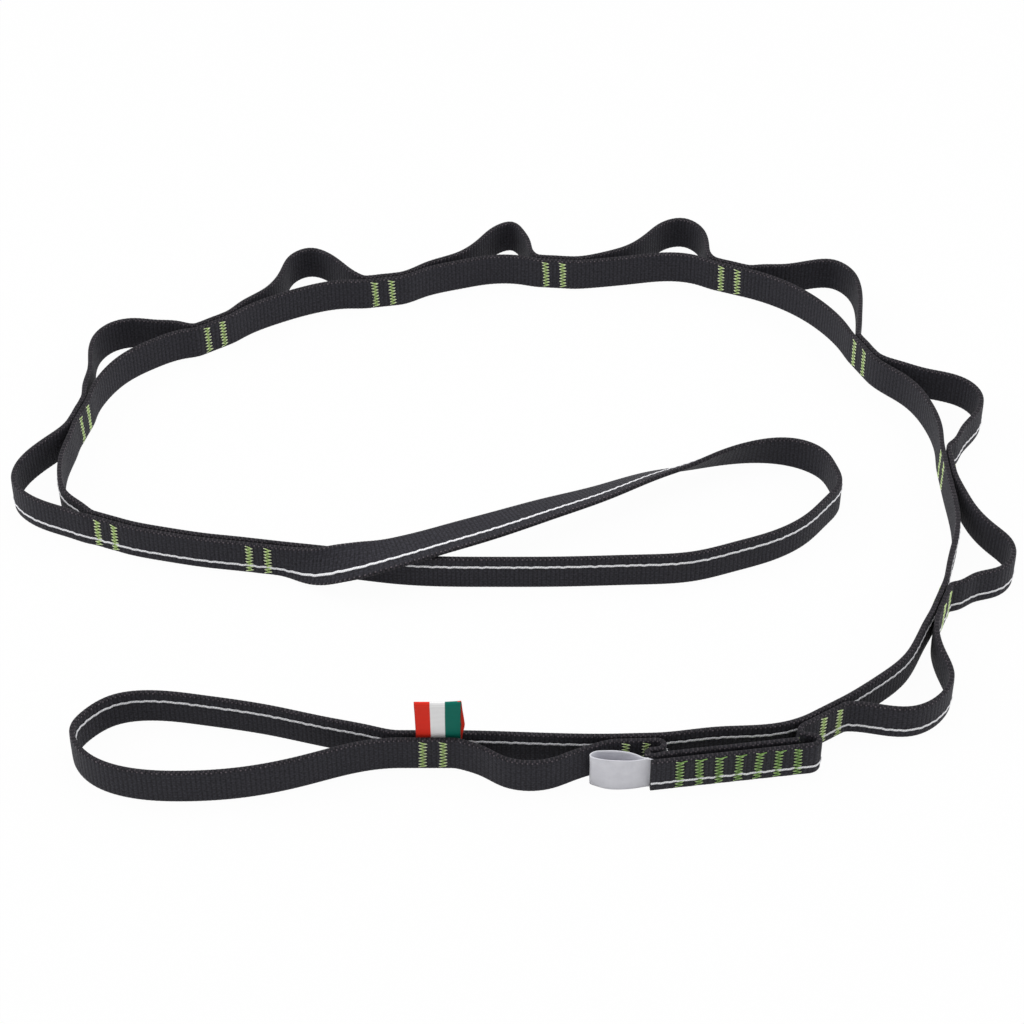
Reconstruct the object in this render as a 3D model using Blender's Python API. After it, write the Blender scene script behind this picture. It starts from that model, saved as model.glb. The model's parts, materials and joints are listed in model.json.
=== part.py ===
"""Climbing daisy chain: one strip of flat webbing sewn back on itself into a row of pockets.

The chain stands on its edge in a loose curl. Two strands lie side by side: the taut spine on the
inner side of the curl, and the slack strand on the outer side, which stands away as the pockets.
Pairs of bar tacks hold the strands together between the pockets. The small end loop is where the
chain starts, and the big end loop, inside the curl, has half a twist in it.

Frame: metres, +Z up, the webbing's lower edge on z = 0, the origin under the middle of the chain.
"""

import math

import bmesh
import bpy
import numpy as np
from mathutils import Vector

# Webbing
PITCH = 0.0815  # along the spine, from one pair of bar tacks to the next
WEB_WIDTH = 0.017
WEB_THICKNESS = 0.0024
SMALL_LOOP_LENGTH = 0.144  # from the first pair of bar tacks to the tip of the loop
BIG_LOOP_LENGTH = 0.2415  # from the last pair of bar tacks to the tip of the loop
FIT_GAP = 0.0003  # between pieces that touch

# Bar tacks
TACK_SPACING = 0.008  # between the two tacks of a pair
TACK_LENGTH = 0.015
TACK_WIDTH = 0.0032
TACK_NOTCH = 0.001  # depth of the zigzag's valleys
TACK_TEETH = 5
THREAD_HEIGHT = 0.0004  # how far the stitches stand on the webbing
CORE_THICKNESS = 0.0009  # the stitches that pass through both strands
CORE_HEIGHT = 0.013
SEWN_LENGTH = 0.014  # the straight stretch that a pair of tacks holds flat
END_HINGE_SETBACK = 0.0094  # the small loop bends this far before the first pair's middle

# Lap splice
LAP_TACK_SPACING = 0.00785
LAP_TACKS = 7
LAP_FIRST_TACK = 0.0113  # from the front layer's cut end to the first tack
JUMP_THREAD = 0.0006

# Label, folded into a loop
LABEL_HEIGHT = 0.0162
LABEL_THICKNESS = 0.0003
LABEL_TAIL = 0.0145  # sewn in between the two layers of the splice
LABEL_LENGTH = 0.0225  # from the splice to the fold
LABEL_HINGE_STANDOFF = 0.001

# Striped tab, folded over at the top
TAB_WIDTH = 0.0184
TAB_THICKNESS = 0.00045
TAB_HEIGHT = 0.0185  # above the webbing
TAB_TAIL = 0.009  # sewn in between the strands
TAB_FOLD_OPEN = 0.0012
TAB_OFFSET = 0.0022  # from the first pair's middle
# One leaf of the folded tab, from its root to its top: out from the middle as a share of half its
# thickness, and up as a share of its height
TAB_LEAF_SHARES = [(1.0, 0.30), (1.0, 0.86), (0.72, 0.96)]

# Drawing steps
BEND_STEP_DEG = 13.0
LONGEST_STEP = 0.009
FINE_STEP = 0.0004
CAP_STEPS = 3
LOOP_BEND_STEP_DEG = 11.0

# Places of the pairs of bar tacks: x and y as shares of the pitch, and the heading in degrees
PAIR_PLACE_SHARES = [
    (-0.381, -1.794, 0.0),
    (0.594, -1.806, 2.0),
    (1.536, -1.619, 33.0),
    (2.180, -0.834, 67.0),
    (2.331, 0.213, 92.0),
    (1.973, 1.168, 116.7),
    (1.271, 1.891, 159.0),
    (0.249, 1.945, 175.0),
    (-0.745, 1.771, 189.8),
    (-1.694, 1.375, 212.8),
    (-2.359, 0.610, 254.9),
    (-2.110, -0.265, 338.6),
    (-1.308, -0.448, 350.8),
]

# The spine's bow in each pocket: along the line between the two pairs, and out from it
SPINE_BOW_SHARES = [
    [],
    [(0.40, 0.036), (0.70, 0.068)],
    [(0.33, 0.085), (0.55, 0.108), (0.80, 0.055)],
    [(0.28, 0.048), (0.56, 0.080), (0.80, 0.050)],
    [(0.22, 0.085), (0.42, 0.128), (0.68, 0.105)],
    [(0.18, 0.066), (0.34, 0.112), (0.56, 0.128), (0.80, 0.086)],
    [(0.18, 0.070), (0.35, 0.098), (0.56, 0.062), (0.80, 0.012)],
    [(0.18, 0.062), (0.38, 0.100), (0.56, 0.084), (0.78, 0.042)],
    [(0.20, 0.062), (0.40, 0.096), (0.64, 0.086), (0.84, 0.048)],
    [(0.16, 0.070), (0.34, 0.142), (0.54, 0.172), (0.74, 0.138), (0.86, 0.085)],
    [(0.15, 0.080), (0.30, 0.152), (0.48, 0.200), (0.66, 0.190), (0.79, 0.115)],
    [(0.30, 0.024), (0.55, 0.020)],
]

# The slack strand's way round each pocket, in the same shares; the second pocket holds the
# splice, and in the last one the strands lie together
SLACK_BOW_SHARES = [
    [(0.15, 0.036), (0.24, 0.075), (0.34, 0.138), (0.45, 0.165), (0.57, 0.148), (0.68, 0.095), (0.79, 0.047)],
    None,
    [(0.11, 0.070), (0.18, 0.190), (0.27, 0.315), (0.43, 0.372), (0.58, 0.335), (0.68, 0.225), (0.80, 0.105)],
    [(0.105, 0.075), (0.175, 0.160), (0.235, 0.275), (0.34, 0.350), (0.455, 0.335), (0.55, 0.255),
     (0.67, 0.158), (0.82, 0.085)],
    [(0.11, 0.090), (0.19, 0.185), (0.28, 0.315), (0.39, 0.400), (0.52, 0.392), (0.62, 0.315),
     (0.70, 0.215), (0.80, 0.118)],
    [(0.105, 0.072), (0.18, 0.172), (0.36, 0.375), (0.50, 0.455), (0.62, 0.446), (0.70, 0.357),
     (0.79, 0.210), (0.885, 0.105)],
    [(0.115, 0.072), (0.142, 0.190), (0.185, 0.345), (0.28, 0.416), (0.39, 0.382), (0.49, 0.262),
     (0.60, 0.142), (0.74, 0.066)],
    [(0.112, 0.070), (0.122, 0.180), (0.138, 0.285), (0.19, 0.380), (0.28, 0.360), (0.39, 0.262),
     (0.54, 0.148), (0.74, 0.084)],
    [(0.118, 0.070), (0.165, 0.180), (0.215, 0.320), (0.30, 0.410), (0.41, 0.394), (0.52, 0.272),
     (0.66, 0.152), (0.83, 0.086)],
    [(0.135, 0.125), (0.210, 0.232), (0.29, 0.346), (0.40, 0.410), (0.53, 0.396),
     (0.64, 0.316), (0.74, 0.213), (0.86, 0.124)],
    [(0.108, 0.092), (0.172, 0.176), (0.25, 0.288), (0.36, 0.390), (0.48, 0.426), (0.60, 0.383),
     (0.70, 0.295), (0.79, 0.185), (0.865, 0.088)],
    None,
]

# The lap of the splice, in the second pocket's shares: where the front layer's middle starts and
# ends, and how each layer turns back towards its pair of bar tacks
LAP_POCKET = 1
LAP_START_SHARE = (0.037, 0.1665)
LAP_END_SHARE = (0.800, 0.2077)
BACK_LAYER_END_SHARE = 0.775
FRONT_TURN_SHARES = [(0.845, 0.203), (0.866, 0.178), (0.848, 0.152), (0.810, 0.136), (0.786, 0.112),
                     (0.800, 0.085), (0.835, 0.067)]
BACK_TURN_SHARES = [(0.112, 0.040), (0.125, 0.060), (0.112, 0.082), (0.092, 0.0895), (0.047, 0.0887),
                    (0.030, 0.1058), (0.047, 0.1229)]

# The small loop, as shares of its length: back from the pair of tacks, and out from it
SMALL_LOOP_SHARES = [
    (0.20, 0.028), (0.35, 0.078), (0.50, 0.118), (0.68, 0.134), (0.82, 0.121), (0.92, 0.078),
    (0.972, 0.018), (0.984, -0.034), (0.956, -0.089), (0.89, -0.144), (0.79, -0.163), (0.64, -0.145),
    (0.46, -0.109), (0.29, -0.062), (0.17, -0.031),
]

# The big loop: along from the last pair and out from it, as shares of its length, the height of
# the strip's middle as a share of its width, and how far the strip has rolled over in degrees
BIG_LOOP_SHARES = [
    (0.076, 0.0125, 0.540, 12.0), (0.110, 0.0200, 0.665, 28.0), (0.144, 0.0222, 0.845, 48.0),
    (0.178, 0.0205, 1.000, 65.0), (0.212, 0.0120, 1.090, 80.0), (0.258, -0.0110, 1.112, 89.0),
    (0.305, -0.0400, 1.108, 93.0), (0.335, -0.0610, 1.080, 93.5), (0.395, -0.1040, 1.010, 96.0),
    (0.487, -0.1750, 0.880, 104.0), (0.570, -0.2390, 0.750, 114.0), (0.662, -0.3140, 0.630, 127.0),
    (0.710, -0.3450, 0.575, 137.0), (0.759, -0.3780, 0.540, 150.0), (0.826, -0.4110, 0.515, 164.0),
    (0.877, -0.4220, 0.504, 174.0), (0.924, -0.4156, 0.500, 180.0), (0.957, -0.3940, 0.500, 180.0),
    (0.975, -0.3640, 0.500, 180.0), (0.988, -0.3240, 0.500, 180.0), (0.970, -0.2765, 0.500, 180.0),
    (0.940, -0.2250, 0.500, 180.0), (0.883, -0.1695, 0.500, 180.0), (0.820, -0.1313, 0.500, 180.0),
    (0.757, -0.0979, 0.500, 180.0), (0.658, -0.0720, 0.500, 180.0), (0.527, -0.0458, 0.500, 180.0),
    (0.408, -0.0258, 0.500, 180.0), (0.244, -0.0060, 0.500, 180.0), (0.130, -0.0066, 0.500, 180.0),
]

# The folded label outside the splice, in the second pocket's shares, from the splice round the
# fold and back
LABEL_LOOP_SHARES = [
    (-0.040, 0.146), (-0.100, 0.138), (-0.167, 0.122), (-0.226, 0.092), (-0.246, 0.071),
    (-0.228, 0.057), (-0.184, 0.054), (-0.136, 0.060), (-0.068, 0.084), (-0.020, 0.114),
]

LAST_PAIR = len(PAIR_PLACE_SHARES) - 1
ROOT_POCKET = 7

COLOURS = {
    "charcoal_webbing": ((0.022, 0.021, 0.024), 0.85),
    "green_thread": ((0.30, 0.50, 0.13), 0.7),
    "grey_label": ((0.55, 0.55, 0.58), 0.6),
    "striped_ribbon": ((0.55, 0.05, 0.03), 0.7),
}


def clear_scene():
    for obj in list(bpy.data.objects):
        bpy.data.objects.remove(obj, do_unlink=True)


def material(name):
    found = bpy.data.materials.get(name)
    if found:
        return found
    colour, roughness = COLOURS[name]
    made = bpy.data.materials.new(name)
    made.use_nodes = True
    shader = made.node_tree.nodes["Principled BSDF"]
    shader.inputs["Base Color"].default_value = (*colour, 1.0)
    shader.inputs["Roughness"].default_value = roughness
    shader.inputs["Metallic"].default_value = 0.0
    return made


# Curves


def spline(points, start, end):
    """A cubic curve through points, any number of values each, leaving along start and arriving along end."""
    p = np.array(points, dtype=float)
    knots = np.concatenate([[0.0], np.cumsum(np.linalg.norm(np.diff(p[:, :2], axis=0), axis=1))])
    step = np.diff(knots)
    count = len(p)
    matrix = np.zeros((count, count))
    right = np.zeros_like(p)
    matrix[0, 0] = matrix[-1, -1] = 1.0
    right[0], right[-1] = start, end
    for i in range(1, count - 1):
        matrix[i, i - 1] = step[i]
        matrix[i, i] = 2 * (step[i - 1] + step[i])
        matrix[i, i + 1] = step[i - 1]
        right[i] = 3 * (
            step[i] * (p[i] - p[i - 1]) / step[i - 1] + step[i - 1] * (p[i + 1] - p[i]) / step[i]
        )
    slope = np.linalg.solve(matrix, right)
    out = [p[0]]
    for i in range(count - 1):
        pieces = max(2, math.ceil(step[i] / FINE_STEP))
        for k in range(1, pieces + 1):
            t = k / pieces
            out.append(
                (2 * t**3 - 3 * t**2 + 1) * p[i]
                + (t**3 - 2 * t**2 + t) * step[i] * slope[i]
                + (3 * t**2 - 2 * t**3) * p[i + 1]
                + (t**3 - t**2) * step[i] * slope[i + 1]
            )
    return np.array(out)


def thinned(fine, bend_step_deg):
    """Only as many of a fine curve's points as its bends need. The first and last stay."""
    along = np.diff(fine[:, :2], axis=0)
    heading = np.unwrap(np.arctan2(along[:, 1], along[:, 0]))
    keep, last, run = [0], heading[0], 0.0
    for i in range(1, len(fine) - 1):
        run += float(np.hypot(*along[i - 1]))
        if abs(heading[i] - last) > math.radians(bend_step_deg) or run > LONGEST_STEP:
            keep.append(i)
            last, run = heading[i], 0.0
    keep.append(len(fine) - 1)
    return keep


def right_normals(points, start, end):
    """The unit vector to the right of travel at each point of a plan path."""
    ahead = np.gradient(points[:, :2], axis=0)
    ahead[0], ahead[-1] = start, end
    ahead /= np.linalg.norm(ahead, axis=1)[:, None]
    return np.stack([ahead[:, 1], -ahead[:, 0]], axis=1)


class Pair:
    """A pair of bar tacks: its middle, its heading, and the gap between its two strands."""

    def __init__(self, index):
        x, y, heading = PAIR_PLACE_SHARES[index]
        self.index = index
        self.middle = np.array([x * PITCH, y * PITCH])
        angle = math.radians(heading)
        self.heading = angle
        self.along = np.array([math.cos(angle), math.sin(angle)])
        self.out = np.array([self.along[1], -self.along[0]])
        self.gap = FIT_GAP if index else 2 * TAB_THICKNESS + 2 * FIT_GAP
        self.half = WEB_THICKNESS + self.gap / 2
        self.offset = (WEB_THICKNESS + self.gap) / 2
        self.hinge = 0.0 if index else -END_HINGE_SETBACK

    def at(self, s, n):
        return self.middle + s * self.along + n * self.out

    def hinge_point(self):
        return self.at(self.hinge, 0.0)

    def socket_depth(self):
        """How far the hinge's socket reaches back from its axis, at the corners of its arc."""
        return (self.half + FIT_GAP) / math.cos(math.radians(90) / (2 * CAP_STEPS)) + FIT_GAP

    def knuckle(self, convex, side):
        """The rounded end of one strand at the hinge, from its outer face to its inner one, as (s, n)."""
        low = self.gap / 2
        turn = math.radians(90) / CAP_STEPS
        radius = self.half if convex else (self.half + FIT_GAP) / math.cos(turn / 2)
        first = math.asin(min(1.0, self.half / radius))
        last = math.asin(low / radius)
        angles = [first + (last - first) * i / CAP_STEPS for i in range(CAP_STEPS + 1)]
        return [(self.hinge - radius * math.cos(a), side * radius * math.sin(a)) for a in angles]


PAIRS = [Pair(i) for i in range(LAST_PAIR + 1)]


class Pocket:
    """The frame of one pocket: along the line from one pair of tacks to the next, and out from it."""

    def __init__(self, index):
        self.first, self.last = PAIRS[index], PAIRS[index + 1]
        line = self.last.middle - self.first.middle
        self.along = line / np.linalg.norm(line)
        self.out = np.array([self.along[1], -self.along[0]])
        self.spine_bow = SPINE_BOW_SHARES[index]
        self.slack_bow = SLACK_BOW_SHARES[index]

    def at(self, share):
        u, v = share
        return self.first.middle + PITCH * (u * self.along + v * self.out)

    def middle_line(self):
        """The fine curve midway between the strands where they lie together."""
        reach = SEWN_LENGTH / 2
        ends = [self.first.at(reach, 0.0)], [self.last.at(-reach, 0.0)]
        points = ends[0] + [self.at(s) for s in self.spine_bow] + ends[1]
        return spline(points, self.first.along, self.last.along)

    def beside(self, side):
        """The fine middle line of a strand that keeps beside the middle line."""
        line = self.middle_line()
        normals = right_normals(line, self.first.along, self.last.along)
        run = np.linspace(0.0, 1.0, len(line))[:, None]
        offset = self.first.offset * (1 - run) + self.last.offset * run
        return line + side * offset * normals

    def slack_line(self):
        if self.slack_bow is None:
            return self.beside(1)
        reach = SEWN_LENGTH / 2
        points = (
            [self.first.at(reach, self.first.offset)]
            + [self.at(s) for s in self.slack_bow]
            + [self.last.at(-reach, self.last.offset)]
        )
        return spline(points, self.first.along, self.last.along)


POCKETS = [Pocket(i) for i in range(LAST_PAIR)]


# Solids


def new_object(name, bm, material_name, origin, parent):
    """An object from a mesh made in the chain's frame, with its own origin on its joint's axis."""
    bmesh.ops.recalc_face_normals(bm, faces=bm.faces)
    origin = Vector((float(origin[0]), float(origin[1]), float(origin[2]) if len(origin) > 2 else 0.0))
    bmesh.ops.translate(bm, verts=bm.verts, vec=-origin)
    mesh = bpy.data.meshes.new(name)
    bm.to_mesh(mesh)
    bm.free()
    mesh.materials.append(material(material_name))
    obj = bpy.data.objects.new(name, mesh)
    obj.location = origin
    obj.parent = parent
    bpy.context.scene.collection.objects.link(obj)
    return obj


def raised_strip(left, right, start_cap, end_cap, low, high):
    """A strip that stands between two plan lines of as many points, with more points at its ends.

    The caps run from the left line to the right one.
    """
    bm = bmesh.new()

    def column(p):
        return [bm.verts.new((float(p[0]), float(p[1]), z)) for z in (low, high)]

    lefts = [column(p) for p in left]
    rights = [column(p) for p in right]
    starts = [column(p) for p in start_cap]
    ends = [column(p) for p in end_cap]
    for i in range(len(lefts) - 1):
        for k in (0, 1):
            bm.faces.new((lefts[i][k], lefts[i + 1][k], rights[i + 1][k], rights[i][k]))
    for row, a, b in ((starts, lefts[0], rights[0]), (ends, lefts[-1], rights[-1])):
        if row:
            for k in (0, 1):
                bm.faces.new([a[k], *[c[k] for c in row], b[k]])
    ring = lefts + ends + rights[::-1] + starts[::-1]
    for i, a in enumerate(ring):
        b = ring[(i + 1) % len(ring)]
        bm.faces.new((a[0], b[0], b[1], a[1]))
    return bm


def box(bm, centre, axes, halves):
    """A box in bm, given its middle, its three unit axes and its half sizes."""
    corners = []
    for sx in (-1, 1):
        for sy in (-1, 1):
            for sz in (-1, 1):
                offset = sum(
                    (Vector(a) * s * h for a, s, h in zip(axes, (sx, sy, sz), halves)), Vector((0, 0, 0))
                )
                corners.append(bm.verts.new(Vector(centre) + offset))
    for face in ((0, 1, 3, 2), (4, 6, 7, 5), (0, 4, 5, 1), (2, 3, 7, 6), (0, 2, 6, 4), (1, 5, 7, 3)):
        bm.faces.new([corners[i] for i in face])


def slotted(obj, places, parent):
    """Cuts the slots that the bar tacks' cores pass through. Each place is a point and a heading."""
    bm = bmesh.new()
    for place, angle in places:
        along = (math.cos(angle), math.sin(angle), 0.0)
        out = (math.sin(angle), -math.cos(angle), 0.0)
        centre = (float(place[0]), float(place[1]), WEB_WIDTH / 2)
        halves = (CORE_THICKNESS / 2 + FIT_GAP, WEB_THICKNESS / 2 + FIT_GAP / 4, CORE_HEIGHT / 2 + FIT_GAP)
        box(bm, centre, (along, out, (0.0, 0.0, 1.0)), halves)
    cutter = new_object(obj.name + "_slots", bm, "charcoal_webbing", obj.location, parent)
    cutter.hide_render = True
    cutter.display_type = "WIRE"
    cut = obj.modifiers.new("slots", "BOOLEAN")
    cut.operation = "DIFFERENCE"
    cut.solver = "EXACT"
    cut.object = cutter


def tack_place(pair, step, n=0.0):
    return pair.at(step * TACK_SPACING / 2, n)


def standing_strand(name, fine, first, last, side, origin, parent):
    """A strand of one pocket, from the hinge in its first pair of tacks to the hinge in its last."""
    keep = thinned(fine, BEND_STEP_DEG)
    normals = right_normals(fine, first.along, last.along)[keep]
    line = fine[keep]
    start = first.at(first.hinge, side * first.offset)
    end = last.at(last.hinge - last.socket_depth(), side * last.offset)
    line = np.vstack([[start], line, [end]])
    normals = np.vstack([[first.out], normals, [last.out]])
    left = line + side * normals * WEB_THICKNESS / 2
    right = line - side * normals * WEB_THICKNESS / 2
    start_cap = [first.at(s, n) for s, n in first.knuckle(True, side)[1:]]
    end_cap = [last.at(s, n) for s, n in last.knuckle(False, side)]
    bm = raised_strip(left, right, start_cap, end_cap, 0.0, WEB_WIDTH)
    obj = new_object(name, bm, "charcoal_webbing", origin, parent)
    slotted(
        obj,
        [(tack_place(first, 1, side * first.offset), first.heading)]
        + ([(tack_place(first, -1, side * first.offset), first.heading)] if first.hinge else [])
        + [(tack_place(last, -1, side * last.offset), last.heading)],
        parent,
    )
    return obj


def zigzag_outline():
    """The serrated outline of a bar tack: its right edge and its left edge, bottom to top, as (s, z)."""
    rows = 2 * TACK_TEETH
    right, left = [], []
    for i in range(rows + 1):
        z = WEB_WIDTH / 2 + TACK_LENGTH * (i / rows - 0.5)
        tooth = i % 2
        right.append((TACK_WIDTH / 2 - (0 if tooth else TACK_NOTCH), z))
        left.append((-TACK_WIDTH / 2 + (TACK_NOTCH if tooth else 0), z))
    return right, left


def add_tack(bm, middle, angle, stack):
    """A bar tack in bm: a zigzag plate on each face of the sewn stack, and the core through it."""
    along = Vector((math.cos(angle), math.sin(angle), 0.0))
    out = Vector((math.sin(angle), -math.cos(angle), 0.0))
    base = Vector((float(middle[0]), float(middle[1]), 0.0))

    def put(s, n, z):
        return bm.verts.new(base + s * along + n * out + Vector((0.0, 0.0, z)))

    right, left = zigzag_outline()
    c = CORE_THICKNESS / 2
    core = [(c, -1), (c, 1), (-c, 1), (-c, -1)]
    rings = []
    for side in (-1, 1):
        inner = side * (stack / 2 + FIT_GAP)
        outer = side * (stack / 2 + FIT_GAP + THREAD_HEIGHT)
        r_in = [put(s, inner, z) for s, z in right]
        l_in = [put(s, inner, z) for s, z in left]
        r_out = [put(s, outer, z) for s, z in right]
        l_out = [put(s, outer, z) for s, z in left]
        ring = [put(s, inner, WEB_WIDTH / 2 + k * CORE_HEIGHT / 2) for s, k in core]
        for i in range(len(right) - 1):
            bm.faces.new((r_out[i], r_out[i + 1], l_out[i + 1], l_out[i]))
        bm.faces.new([*r_in, ring[1], ring[0]])
        bm.faces.new([*l_in, ring[2], ring[3]])
        bm.faces.new((r_in[-1], l_in[-1], ring[2], ring[1]))
        bm.faces.new((r_in[0], l_in[0], ring[3], ring[0]))
        edge_in = r_in + l_in[::-1]
        edge_out = r_out + l_out[::-1]
        for i, a in enumerate(edge_in):
            k = (i + 1) % len(edge_in)
            bm.faces.new((a, edge_in[k], edge_out[k], edge_out[i]))
        rings.append(ring)
    for i in range(4):
        k = (i + 1) % 4
        bm.faces.new((rings[0][i], rings[0][k], rings[1][k], rings[1][i]))


def build_tacks(origins, parents):
    """The two bar tacks of every pair, one before and one after the pair's middle."""
    for pair in PAIRS:
        for step, letter in ((-1, "a"), (1, "b")):
            before = step < 0 and pair.index > 0
            pocket = pair.index if before else pair.index + 1
            bm = bmesh.new()
            add_tack(bm, tack_place(pair, step), pair.heading, 2 * pair.half)
            new_object(
                f"bar_tack_{pair.index + 1:02d}{letter}", bm, "green_thread", origins[pocket], parents[pocket]
            )


# The splice


class Lap:
    """The straight lap of the splice: its two layers, with the label's tail between them."""

    def __init__(self):
        self.pocket = POCKETS[LAP_POCKET]
        self.start, self.end = self.pocket.at(LAP_START_SHARE), self.pocket.at(LAP_END_SHARE)
        line = self.end - self.start
        self.along = line / np.linalg.norm(line)
        self.out = np.array([self.along[1], -self.along[0]])
        self.heading = math.atan2(self.along[1], self.along[0])
        self.gap = 2 * LABEL_THICKNESS + 2 * FIT_GAP
        self.layers = WEB_THICKNESS + self.gap
        self.middle = self.start - self.out * self.layers / 2

    def tack(self, index, n=0.0):
        return self.middle + (LAP_FIRST_TACK + index * LAP_TACK_SPACING) * self.along + n * self.out


def splice_strand(name, line, normals, cap, cap_first, places, origin, parent):
    left = line + normals * WEB_THICKNESS / 2
    right = line - normals * WEB_THICKNESS / 2
    bm = raised_strip(left, right, cap if cap_first else [], [] if cap_first else cap, 0.0, WEB_WIDTH)
    obj = new_object(name, bm, "charcoal_webbing", origin, parent)
    slotted(obj, places, parent)


def build_splice(origin, parent):
    """The two ends of the webbing, lapped and sewn with a row of bar tacks."""
    lap = Lap()
    pocket = lap.pocket
    first, last = pocket.first, pocket.last
    reach = SEWN_LENGTH / 2
    tacks = range(LAP_TACKS)

    turn = [lap.end] + [pocket.at(s) for s in FRONT_TURN_SHARES] + [last.at(-reach, last.offset)]
    fine = spline(turn, lap.along, last.along)
    keep = thinned(fine, BEND_STEP_DEG)
    normals = right_normals(fine, lap.along, last.along)[keep]
    end = last.at(last.hinge - last.socket_depth(), last.offset)
    line = np.vstack([[lap.start], fine[keep], [end]])
    normals = np.vstack([[lap.out], normals, [last.out]])
    cap = [last.at(s, n) for s, n in last.knuckle(False, 1)]
    places = [(lap.tack(i, lap.layers / 2), lap.heading) for i in tacks]
    places.append((tack_place(last, -1, last.offset), last.heading))
    splice_strand("splice_front_layer", line, normals, cap, False, places, origin, parent)

    back_start = lap.start - lap.out * lap.layers
    lead = pocket.at((BACK_LAYER_END_SHARE, 0.0)) - back_start
    back_end = back_start + lap.along * float(lead @ lap.along)
    turn = [first.at(reach, first.offset)] + [pocket.at(s) for s in BACK_TURN_SHARES]
    turn.append(back_start + lap.along * LAP_FIRST_TACK / 2)
    fine = spline(turn, first.along, lap.along)
    keep = thinned(fine, BEND_STEP_DEG)
    normals = right_normals(fine, first.along, lap.along)[keep]
    line = np.vstack([[first.at(first.hinge, first.offset)], fine[keep], [back_end]])
    normals = np.vstack([[first.out], normals, [lap.out]])
    cap = [first.at(s, n) for s, n in first.knuckle(True, 1)[1:]]
    places = [(lap.tack(i, -lap.layers / 2), lap.heading) for i in tacks]
    places.append((tack_place(first, 1, first.offset), first.heading))
    splice_strand("splice_back_layer", line, normals, cap, True, places, origin, parent)
    build_splice_tacks(lap, origin, parent)
    return lap


def build_splice_tacks(lap, origin, parent):
    """The row of bar tacks through the lap, with the thread that runs on from each to the next."""
    stack = 2 * WEB_THICKNESS + lap.gap
    bm = bmesh.new()
    for i in range(LAP_TACKS):
        add_tack(bm, lap.tack(i), lap.heading, stack)
    row = new_object("splice_tacks", bm, "green_thread", origin, parent)
    bar = bmesh.new()
    first, last = lap.tack(0), lap.tack(LAP_TACKS - 1)
    middle = (first + last) / 2 + lap.out * (stack / 2 + FIT_GAP + THREAD_HEIGHT / 2)
    centre = (float(middle[0]), float(middle[1]), WEB_WIDTH / 2 + TACK_LENGTH / 2 - TACK_LENGTH / (2 * TACK_TEETH))
    length = float(np.linalg.norm(last - first)) / 2
    axes = ((*lap.along, 0.0), (*lap.out, 0.0), (0.0, 0.0, 1.0))
    box(bar, centre, axes, (length, THREAD_HEIGHT / 4, JUMP_THREAD / 2))
    thread = new_object("splice_jump_thread", bar, "green_thread", origin, parent)
    thread.hide_render = True
    thread.display_type = "WIRE"
    join = row.modifiers.new("jump_thread", "BOOLEAN")
    join.operation = "UNION"
    join.solver = "EXACT"
    join.object = thread


# End loops


def build_small_loop(origin, parent):
    """The end loop that the chain starts with, standing on its edge."""
    pair = PAIRS[0]
    back = pair.hinge - SEWN_LENGTH / 4
    points = [pair.at(back, pair.offset)]
    points += [pair.at(-SMALL_LOOP_LENGTH * a, SMALL_LOOP_LENGTH * b) for a, b in SMALL_LOOP_SHARES]
    points.append(pair.at(back, -pair.offset))
    fine = spline(points, -pair.along, pair.along)
    keep = thinned(fine, BEND_STEP_DEG)
    normals = right_normals(fine, -pair.along, pair.along)[keep]
    line = fine[keep]
    left = line - normals * WEB_THICKNESS / 2
    right = line + normals * WEB_THICKNESS / 2
    caps = [[pair.at(s, n) for s, n in pair.knuckle(False, side)] for side in (1, -1)]
    bm = raised_strip(left, right, caps[0], caps[1], 0.0, WEB_WIDTH)
    new_object("small_end_loop", bm, "charcoal_webbing", origin, parent)


def build_big_loop(origin, parent):
    """The end loop inside the curl, with half a twist: it rolls over where it crosses itself."""
    pair = PAIRS[-1]
    reach = SEWN_LENGTH / 2
    middle = WEB_WIDTH / 2

    def station(a, b, height, roll):
        p = pair.at(a, b)
        return (p[0], p[1], height, roll)

    points = [station(reach, pair.offset, middle, 0.0)]
    for a, b, height, roll in BIG_LOOP_SHARES:
        points.append(station(a * BIG_LOOP_LENGTH, b * BIG_LOOP_LENGTH, height * WEB_WIDTH, roll))
    points.append(station(reach, -pair.offset, middle, 180.0))
    ahead = (*pair.along, 0.0, 0.0)
    behind = (*(-pair.along), 0.0, 0.0)
    fine = spline(points, ahead, behind)
    keep = thinned(fine, LOOP_BEND_STEP_DEG)
    normals = right_normals(fine, pair.along, -pair.along)[keep]
    sections = [loop_section(p, n) for p, n in zip(fine[keep], normals)]

    tip = math.sqrt(pair.half**2 - (pair.gap / 2) ** 2)
    near, far = pair.half, pair.gap / 2
    for side in (1, -1):
        outer = pair.at(0.0, side * near)
        inner = pair.at(-tip, side * far)
        corners = [(outer, WEB_WIDTH), (outer, 0.0), (inner, 0.0), (inner, WEB_WIDTH)]
        if side < 0:
            corners = [(inner, 0.0), (inner, WEB_WIDTH), (outer, WEB_WIDTH), (outer, 0.0)]
        end = [Vector((float(p[0]), float(p[1]), z)) for p, z in corners]
        sections = [end] + sections if side > 0 else sections + [end]

    bm = bmesh.new()
    rows = [[bm.verts.new(p) for p in section] for section in sections]
    for a, b in zip(rows, rows[1:]):
        for i in range(4):
            k = (i + 1) % 4
            bm.faces.new((a[i], a[k], b[k], b[i]))
    bm.faces.new(rows[0])
    bm.faces.new(rows[-1])
    obj = new_object("big_end_loop", bm, "charcoal_webbing", origin, parent)
    slotted(
        obj,
        [(tack_place(pair, 1, side * pair.offset), pair.heading) for side in (1, -1)],
        parent,
    )


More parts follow.
